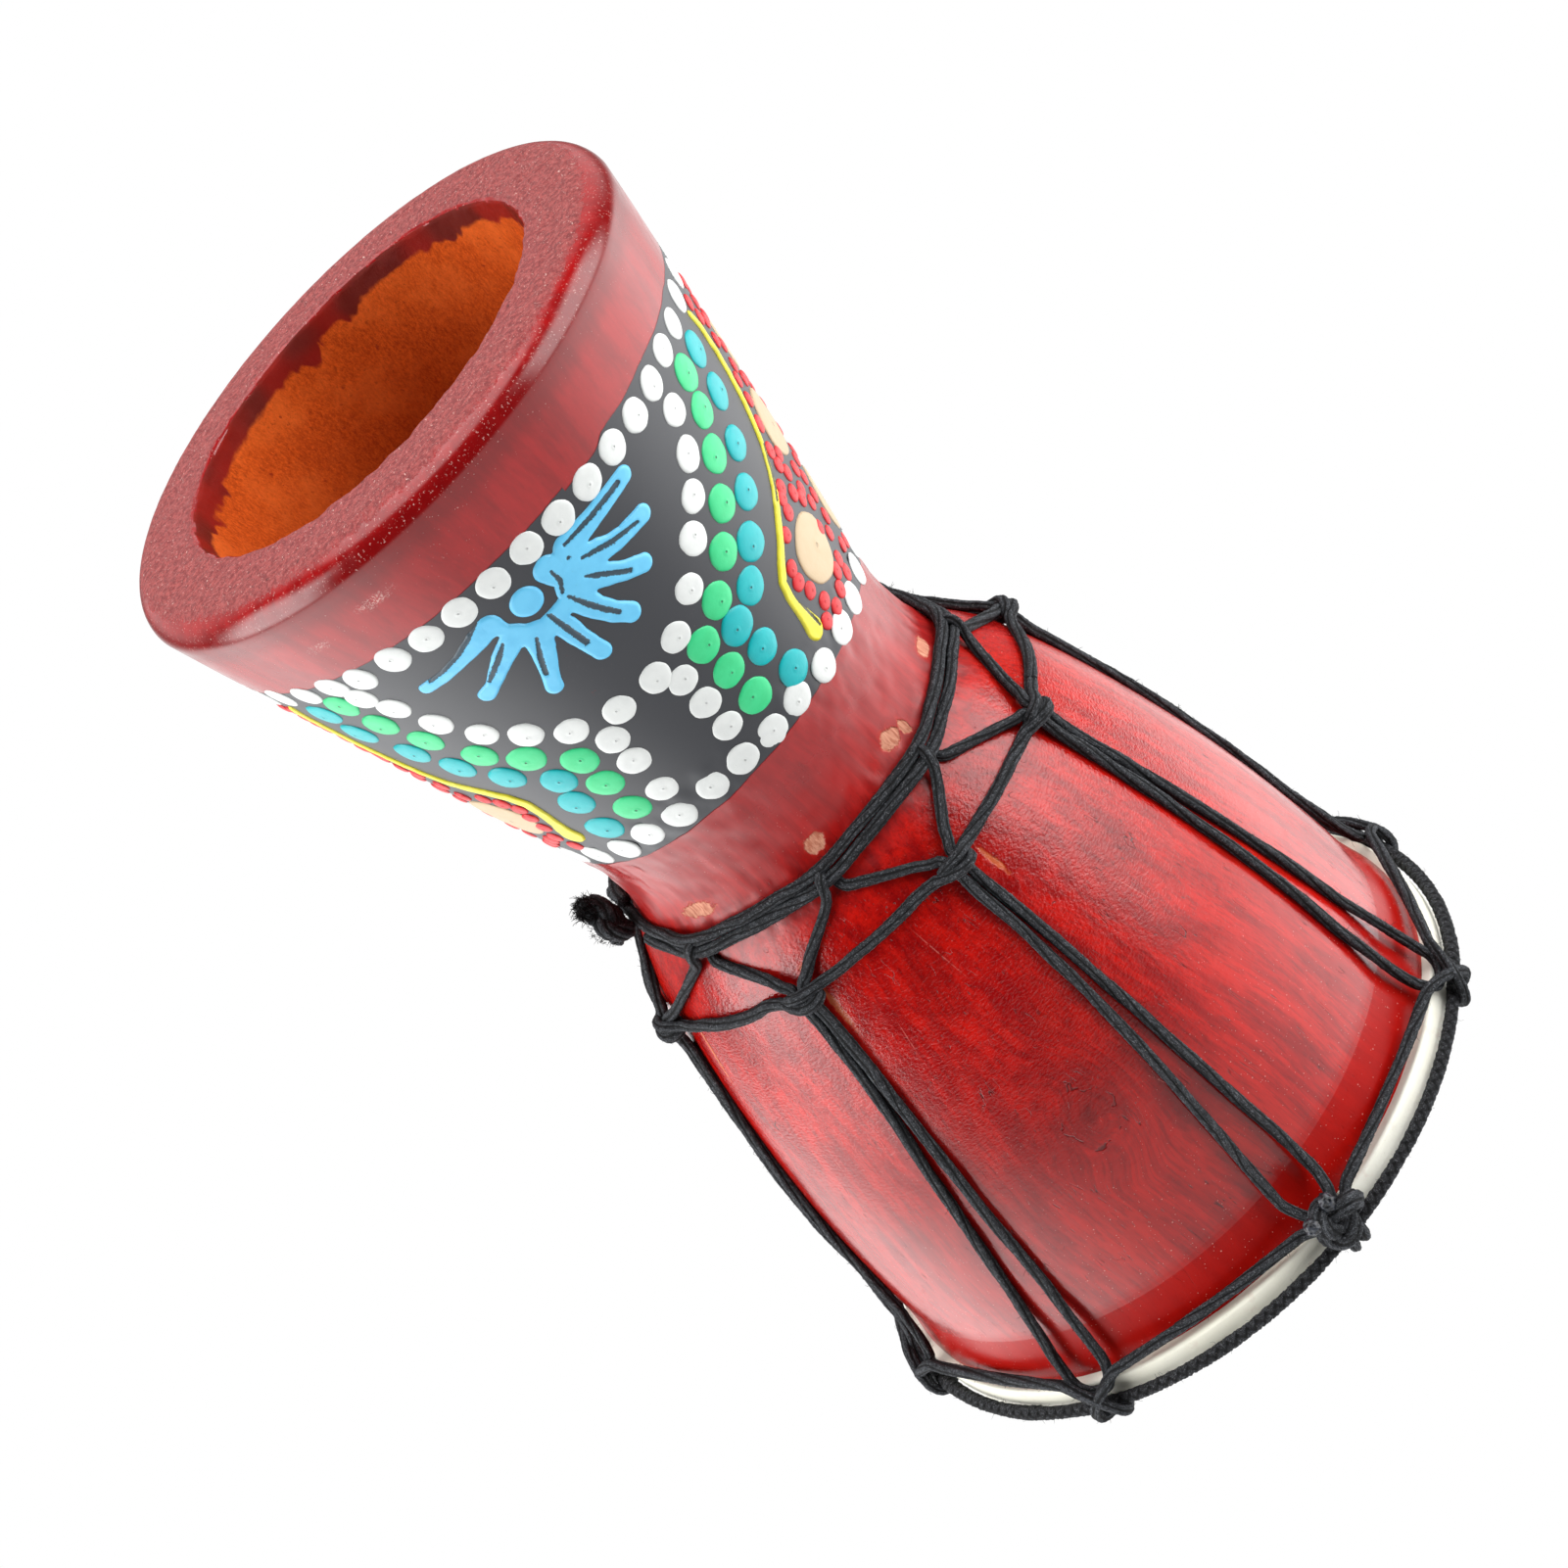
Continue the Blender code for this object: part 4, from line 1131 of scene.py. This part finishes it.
def waist_turn(cell):
    """In beneath the waist cord, round its lower edge and straight back over the top of it."""
    middle = WAIST_ANGLES[cell]
    start, end = SHOULDER_ANGLES[cell] + STRAND_HALF, next_shoulder(cell) - STRAND_HALF
    ring = waist_cord_z((middle - WAIST_KNOT_ANGLE) % 360 + 180)
    wall = float(wood_radius(ring))
    low, high = knot_height(cell) - 1.0, knot_height(cell + 1) - 1.0
    inwards = ((0.10, low - 0.2, 1.3), (0.25, low - 1.3, 0.8), (0.97, ring + 2.6, 0.6))
    hook = ((-1.4, 0.5, 1.4), (-1.0, 0.5, 0.4), (-0.4, 0.9, -0.35), (0.3, 1.9, -0.55),
            (1.0, 2.6, 0.0), (1.8, 2.8, 1.0), (2.5, 2.5, 2.1))
    outwards = ((0.16, ring + 3.3, 0.8), (0.75, high - 1.3, 0.8), (0.9, high - 0.2, 1.3))
    return [*(on_wood(start + (middle - 1.6 - start) * share, z, lift)
              for share, z, lift in inwards),
            *around_from(middle, [(turn, wall + out, ring + up) for turn, out, up in hook]),
            *(on_wood(middle + 2.8 + (end - middle - 2.8) * share, z, lift)
              for share, z, lift in outwards)]


def lacing_route():
    points = []
    for step in range(CELLS + 1):
        cell = (KNOT_CELL + step) % CELLS
        if step > 0:
            points += rising_strand(cell, -1)
            points += [] if cell == KNOT_CELL else bight(cell)
        if step < CELLS:
            points += reversed(rising_strand(cell, 1))
            points += waist_turn(cell)
    return points


def shoulder_route():
    """Round the drum once, with a half hitch round each pair of strands."""
    points = []
    hitch = (  # mm round, mm up and mm over the wood, across a pair
        (-5.5, 0.15, 0.62), (-2.9, 0.1, 0.95), (-1.7, -0.25, 1.9), (-0.6, -0.55, 2.75),
        (0.7, -0.6, 2.75), (1.75, -0.25, 1.9), (1.9, 0.2, 1.0), (0.9, 0.55, 0.62),
        (-0.9, 0.75, 0.62), (-1.9, 0.9, 1.1), (-1.5, 0.95, 2.2), (-0.4, 0.85, 2.85),
        (0.8, 0.55, 2.75), (1.8, 0.3, 2.1), (2.9, 0.1, 1.1), (5.5, 0.0, 0.62),
    )
    for cell, middle in enumerate(SHOULDER_ANGLES):
        z0, z1 = knot_height(cell), knot_height(cell + 1)
        scale = degree_mm(z0)
        points += [polar(middle + u / scale, wood_radius(z0 + v) + h, z0 + v)
                   for u, v, h in hitch]
        half = (next_shoulder(cell) - middle) / 2
        edge = 1 - hitch[-1][0] / scale / half
        for share in np.linspace(-edge, edge, 7)[1:-1]:
            points.append(on_wood(middle + half * (1 + share), z0 + (z1 - z0) * (share + 1) / 2))
    return points


def waist_cord_z(turn):
    """How high the waist cord runs, by its degrees past the knot."""
    return WAIST_Z + 0.1 + (WAIST_PITCH - 0.1) * turn / 360


def waist_route():
    """Two turns that swell outwards where the lacing passes beneath them."""
    clear, turns = 6.5, 2
    points = []
    for turn in clear + (360 * turns - 2 * clear) * np.arange(241) / 240:
        angle, z = WAIST_KNOT_ANGLE + turn, waist_cord_z(turn)
        near = min(abs((angle - place + 180) % 360 - 180) for place in WAIST_ANGLES)
        swell = 0.95 * max(0.0, math.cos(math.radians(min(near * 7, 90))))
        points.append(polar(angle, wood_radius(z) + CORD_RADIUS + swell, z))
    return points


RIM_HITCH = (  # degrees, radius and height: in, up across the crown, behind it, and out again
    (-18.0, 42.6, 143.0), (-10.0, 43.3, 143.0), (-5.2, 44.0, 143.1), (-3.2, 44.8, 143.8),
    (-1.4, 45.4, 144.7), (0.6, 46.0, 145.8), (1.9, 46.1, 147.2), (2.3, 45.6, 148.6),
    (1.8, 44.6, 149.3), (0.9, 43.5, 149.2), (-0.4, 43.2, 149.0), (-1.6, 43.6, 149.2),
    (-2.3, 44.7, 149.2), (-2.5, 45.7, 148.4), (-1.9, 46.1, 147.1), (-0.4, 45.9, 145.6),
    (1.6, 45.3, 144.4), (3.2, 44.8, 143.6), (5.2, 44.0, 143.1), (10.0, 43.3, 143.0),
    (18.0, 42.6, 143.0),
)


def rim_route():
    """The rim cord, from one side of its knot all the way round to the other."""
    tied = [*RIM_HITCH[:4], (-1.6, 45.3, 144.4)]
    points = around_from(RIM_ANGLES[KNOT_CELL], [(-turn, r, z) for turn, r, z in reversed(tied)])
    for step in range(1, CELLS):
        points += around_from(RIM_ANGLES[(KNOT_CELL + step) % CELLS], RIM_HITCH)
    return points + around_from(RIM_ANGLES[KNOT_CELL], tied)


def tie_loop_route():
    return around_from(RIM_ANGLES[KNOT_CELL], (
        (-1.2, 45.4, 145.0), (-1.3, 46.1, 146.6), (-1.2, 46.0, 148.4), (-1.0, 44.9, 149.6),
        (-0.5, 43.4, 149.4), (0.6, 43.4, 149.4), (1.1, 44.9, 149.6), (1.3, 46.0, 148.4),
        (1.2, 46.2, 146.6), (0.9, 45.5, 145.0)))


UP = np.array((0.0, 0.0, 1.0))


def trefoil(centre, out, size, flat, turn, steps=150):
    """An overhand knot's path round a centre, facing out."""
    across = np.cross(UP, out)
    t = np.linspace(0, math.tau, steps, endpoint=False)
    a = np.sin(t) + 2 * np.sin(2 * t)
    b = np.cos(t) - 2 * np.cos(2 * t)
    c = -np.sin(3 * t)
    a, b = a * math.cos(turn) - b * math.sin(turn), a * math.sin(turn) + b * math.cos(turn)
    return (centre + size[0] / 3 * a[:, None] * across + size[1] / 3 * b[:, None] * UP
            + flat * c[:, None] * out)


def blob(name, centre, size, finish, seed, stretch, out):
    """A lump of cord, melted or knotted tight: a ball pushed about by noise."""
    mesh = bpy.data.meshes.new(name)
    shape = bmesh.new()
    bmesh.ops.create_icosphere(shape, subdivisions=4, radius=1.0)
    for vert in shape.verts:
        push = 1 + 0.16 * noise.fractal(vert.co * 1.3 + Vector((seed, 0, 0)), 0.6, 2.0, 3)
        vert.co = Vector(c * s for c, s in zip(vert.co * push * size, stretch))
    shape.transform(Vector(out).to_track_quat("Z", "Y").to_matrix().to_4x4())
    bmesh.ops.translate(shape, vec=Vector(centre), verts=shape.verts)
    bmesh.ops.scale(shape, vec=(MM, MM, MM), verts=shape.verts)
    shape.to_mesh(mesh)
    shape.free()
    mesh.materials.append(finish)
    mesh.shade_smooth()
    if finish is WAXED:
        at = np.array([vert.co for vert in mesh.vertices]) / MM
        soft = 0.5 + 0.5 * np.sin(at @ (2.3, 3.1, 4.7)) * np.cos(at @ (4.1, -2.9, 1.7))
        write_weave(mesh, 0.3 + 0.5 * soft, at * (2.0, 2.0, 0.5))
    return add_object(name, mesh)


def cord_pieces():
    """The lacing, the rim, shoulder and waist cords, their knots and their lint."""
    rim_out, waist_out = (polar(a, 1.0, 0.0) for a in (RIM_ANGLES[KNOT_CELL], WAIST_KNOT_ANGLE))
    rim_knot = polar(RIM_ANGLES[KNOT_CELL], 45.5, 144.3)
    waist_knot = polar(WAIST_KNOT_ANGLE, 27.8, 69.9)
    lacing = smooth_path(lacing_route(), 0.38, 0.55)
    rim = smooth_path(rim_route(), 0.25, 0.45)
    shoulder = smooth_path(shoulder_route(), 0.25, 0.5, closed=True)
    waist = smooth_path(waist_route(), 0.3, 0.8)
    loop = smooth_path(tie_loop_route(), 0.2, 0.45)
    rim_tie = trefoil(rim_knot, rim_out, (2.9, 2.6), 0.8, 0.5)
    waist_tie = trefoil(waist_knot, waist_out, (2.0, 3.2), 0.8, 0.2)
    made = [
        rope("lacing_twisted", lacing, CORD_RADIUS, 21),
        rope("rim_cord_twisted", rim, NECK_RADIUS * 1.1, 22, loose=0.03),
        rope("shoulder_cord_twisted", shoulder, CORD_RADIUS * 1.12, 23, 5, closed=True),
        rope("waist_cord_twisted", waist, CORD_RADIUS * 1.1, 24, 5, 70.0),
        rope("rim_tie_loop_twisted", loop, NECK_RADIUS, 25, loose=0.02),
        rope("rim_knot_tied", rim_tie, 1.3, 26, 5, 16.0, closed=True),
        rope("waist_knot_tied", waist_tie, 1.1, 27, 5, 12.0, closed=True),
    ]
    for piece, node in zip(made, ("lacing_cord", "rim_cord", "shoulder_cord", "waist_cord",
                                  "rim_tie_loop", "rim_knot", "waist_knot")):
        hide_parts(node)

    across = np.cross(UP, rim_out)
    made += [
        blob("melted_end_1", rim_knot + across * 2.6 - UP * 2.3 + rim_out * 0.6, 1.1, MELTED,
             2.0, (1, 1, 1.35), across * 0.7 - UP),
        blob("melted_end_2", rim_knot - across * 0.5 - UP * 3.0 + rim_out * 0.4, 1.05, MELTED,
             5.0, (1, 1, 1.3), -UP - across * 0.2),
        blob("rim_knot_core", rim_knot - rim_out * 0.2, 1.75, WAXED, 7.0, (1.25, 1.2, 0.7),
             rim_out),
        blob("waist_knot_core", waist_knot - waist_out * 0.2, 1.8, WAXED, 8.0, (1.0, 1.35, 0.8),
             waist_out),
    ]
    rng = np.random.default_rng(31)
    fibres = []
    for route, per_mm, longest, seed in ((lacing, 1.8, 0.9, 1), (rim, 2.2, 0.9, 2),
                                         (shoulder, 3.0, 1.1, 3), (waist, 2.2, 1.0, 4)):
        fibres += fuzz_along(route, CORD_RADIUS, per_mm, seed, longest)
    for centre, out, count, size in ((rim_knot, rim_out, 380, 3.2),
                                     (waist_knot, waist_out, 420, 3.0)):
        for _ in range(count):
            way = rng.normal(0, 1, 3)
            way /= np.linalg.norm(way)
            fibres.append((centre + way * size * 0.85, way + out * 0.3 + rng.normal(0, 0.7, 3),
                           0.3 + rng.random() * 0.7))
    root = waist_knot - UP * 2.9 + waist_out * 0.5
    tuft = []
    for _ in range(1500):
        way = waist_out * 0.35 - UP + rng.normal(0, 0.33, 3)
        tuft.append((root + rng.normal(0, 0.5, 3), way, 0.8 + rng.random() * 1.1))
    fuzz = lint("cord_lint", fibres, 32, thick=0.034)
    end = lint("frayed_end", tuft, 33, thick=0.07)
    core = blob("frayed_end_core", root - UP * 0.4, 1.15, WAXED, 9.0, (1, 1, 1.25),
                waist_out * 0.4 - UP)
    made += [core, fuzz, end]
    return made


def crown_piece():
    """The crown ring: a braid, its strands crossing all round."""
    segments, around, strands, waves = 1500, 20, 190, 90
    turn = (np.arange(segments) * math.tau / segments)[:, None]
    phi = np.arange(around) * math.tau / around
    a, b = strands * turn / 2 + phi * 1.5, strands * turn / 2 - phi * 1.5
    over, under = np.abs(np.sin(a)) ** 0.7, np.abs(np.sin(b)) ** 0.7
    weave = np.maximum(over * (0.75 + 0.25 * np.sin(a + b)),
                       under * (0.75 - 0.25 * np.sin(a + b)))
    rng = np.random.default_rng(41)
    sizes = rng.normal(0, 0.05, waves)
    waver = np.interp(turn, np.linspace(0, math.tau, waves + 1), np.r_[sizes, sizes[0]])
    r = CROWN_HALF * (0.82 + 0.22 * weave + waver) + rng.normal(0, 0.035, weave.shape)
    radius, z = CROWN_RADIUS + r * np.cos(phi), CROWN_Z + 0.9 * r * np.sin(phi)
    points = polar(np.degrees(turn), radius, z).reshape(-1, 3)
    made = make_mesh("crown_braid", points, grid_faces(segments, around, wrap_rows=True), BRAID)
    fix_normals(made)
    along = np.broadcast_to(40 * turn, radius.shape)
    write_weave(made.data, (weave ** 2.2).ravel(),
                np.stack([radius * 0.5, along, z * 2.0], -1).reshape(-1, 3))
    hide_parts("crown_ring")
    ring = polar(np.degrees(np.linspace(0, math.tau, 900)), CROWN_RADIUS, CROWN_Z)
    fluff = lint("crown_lint", fuzz_along(ring, CROWN_HALF, 3.0, 42, 0.8), 43)
    return [made, fluff]


# ------------------------ the head
def skin_relief(radius, z, at):
    if z < 148.0:
        return 0.05 * fractal(*at, 5.0, 2)
    dip = 0.10 * math.exp(-((radius - 40.9) / 0.5) ** 2) if z > 149.7 else 0.0
    return 0.05 * fractal(*at, 9.0, 2) * min(1.0, radius / 20) - dip


def skin_piece():
    shoulder, low, top, side, lap, under = 1.3, 0.5, 150.0, 43.15, 144.9, 149.4
    outline = np.vstack([
        np.stack([np.linspace(0, side - shoulder, 50), np.full(50, top)], 1),
        arc((side - shoulder, top - shoulder), shoulder, shoulder, 90, 0, 10)[1:],
        np.stack([np.full(7, side), np.linspace(top - shoulder, lap + low, 8)[1:]], 1),
        arc((side - low, lap + low), low, low, 0, -90, 7)[1:],
        [[40.8, lap], [40.8, 145.3], [42.1, 145.3], [42.5, 145.6], [42.5, 148.9], [42.0, under]],
        np.stack([np.linspace(41.1, 0, 30), np.full(30, under)], 1),
    ])
    made = turned("skin_head", outline, SKIN, 300, skin_relief, ends_on_axis=True)
    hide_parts("drum_skin")
    return made


# ------------------------ stage, light and camera
def stage_floor(side=3.0):
    """A pale floor that is seen from above only, because the camera looks up from below it."""
    mesh = bpy.data.meshes.new("studio_floor")
    mesh.from_pydata([(-side, -side, 0), (side, -side, 0), (side, side, 0), (-side, side, 0)], [],
                     [(0, 1, 2, 3)])
    floor = add_object("studio_floor", mesh)
    n = Nodes("pale_floor")
    n.set(Base_Color=(0.86, 0.86, 0.86, 1.0), Roughness=0.9)
    behind, clear = n.add("NewGeometry", out=6), n.add("BsdfTransparent")
    seen = n.add("MixShader", {0: behind, 1: Value(n, n.shader.outputs[0]), 2: clear})
    n.put(n.tree.nodes["Material Output"].inputs[0], seen)
    mesh.materials.append(n.material)
    floor.visible_diffuse = floor.visible_glossy = False
    floor.visible_transmission = floor.visible_shadow = False


def studio_light():
    """A light tent: bright panels on both sides, a softer top and the camera's dark gap."""
    world = bpy.data.worlds.new("studio")
    world.use_nodes = True
    n = Nodes("", world.node_tree)
    x, y, z = n.split(n.add("TexCoord", out=0))
    turn = n.around(x, y)
    high = n.math("ARCSINE", z) * (180 / math.pi)
    wide = abs(turn)

    def window(value, a, b, c, d):
        return n.steps(value, a, b) * n.steps(value, d, c)

    top = n.steps(high, 5.0, 27.0) * (1.15 + window(wide, 25, 85, 112, 150) * 1.9)
    left = window(turn, -110, -92, -52, -34) * 5.2
    right = window(turn, 56, 74, 100, 118) * 6.2
    panels = window(high, -48, -30, 2, 17) * (left + right)
    behind = n.steps(wide, 112, 135) * (n.steps(high, 12, -10) * 0.8)
    below = n.steps(high, -56, -66) * 3.4
    light = top * n.steps(high, 74, 54, 0.3, 1.0) + panels + behind + below + 0.02
    background = world.node_tree.nodes["Background"]
    n.put(background.inputs[0], (1, 1, 1, 1))
    n.put(background.inputs[1], n.blend(n.add("LightPath", out=0), light, 1.0))
    bpy.context.scene.world = world


def camera():
    """Low in front of the drum, rolled, looking up into the foot. Metres and degrees."""
    location, target, roll, lens = (0.0, -0.41711, -0.14358), (0.0016, 0.0, 0.0745), 132.2, 90.05
    data = bpy.data.cameras.new("camera")
    data.lens, data.sensor_width = lens, 36.0
    data.clip_start, data.clip_end = 0.01, 20.0
    made = add_object("camera", data)
    made.location = location
    made.rotation_mode = "QUATERNION"
    facing = (Vector(target) - made.location).to_track_quat("-Z", "Y")
    made.rotation_quaternion = facing @ Quaternion((0, 0, 1), math.radians(roll))
    bpy.context.scene.camera = made


camera()
studio_light()
stage_floor()
bpy.context.scene.view_settings.view_transform = "Standard"

pieces = [make_shell(), skin_piece(), *paint_pieces(), *cord_pieces(), *crown_piece()]
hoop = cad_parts["flesh_hoop"]
hoop.data.materials.clear()
hoop.data.materials.append(HOOP_WOOD)
for piece in pieces:
    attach(piece, "root")
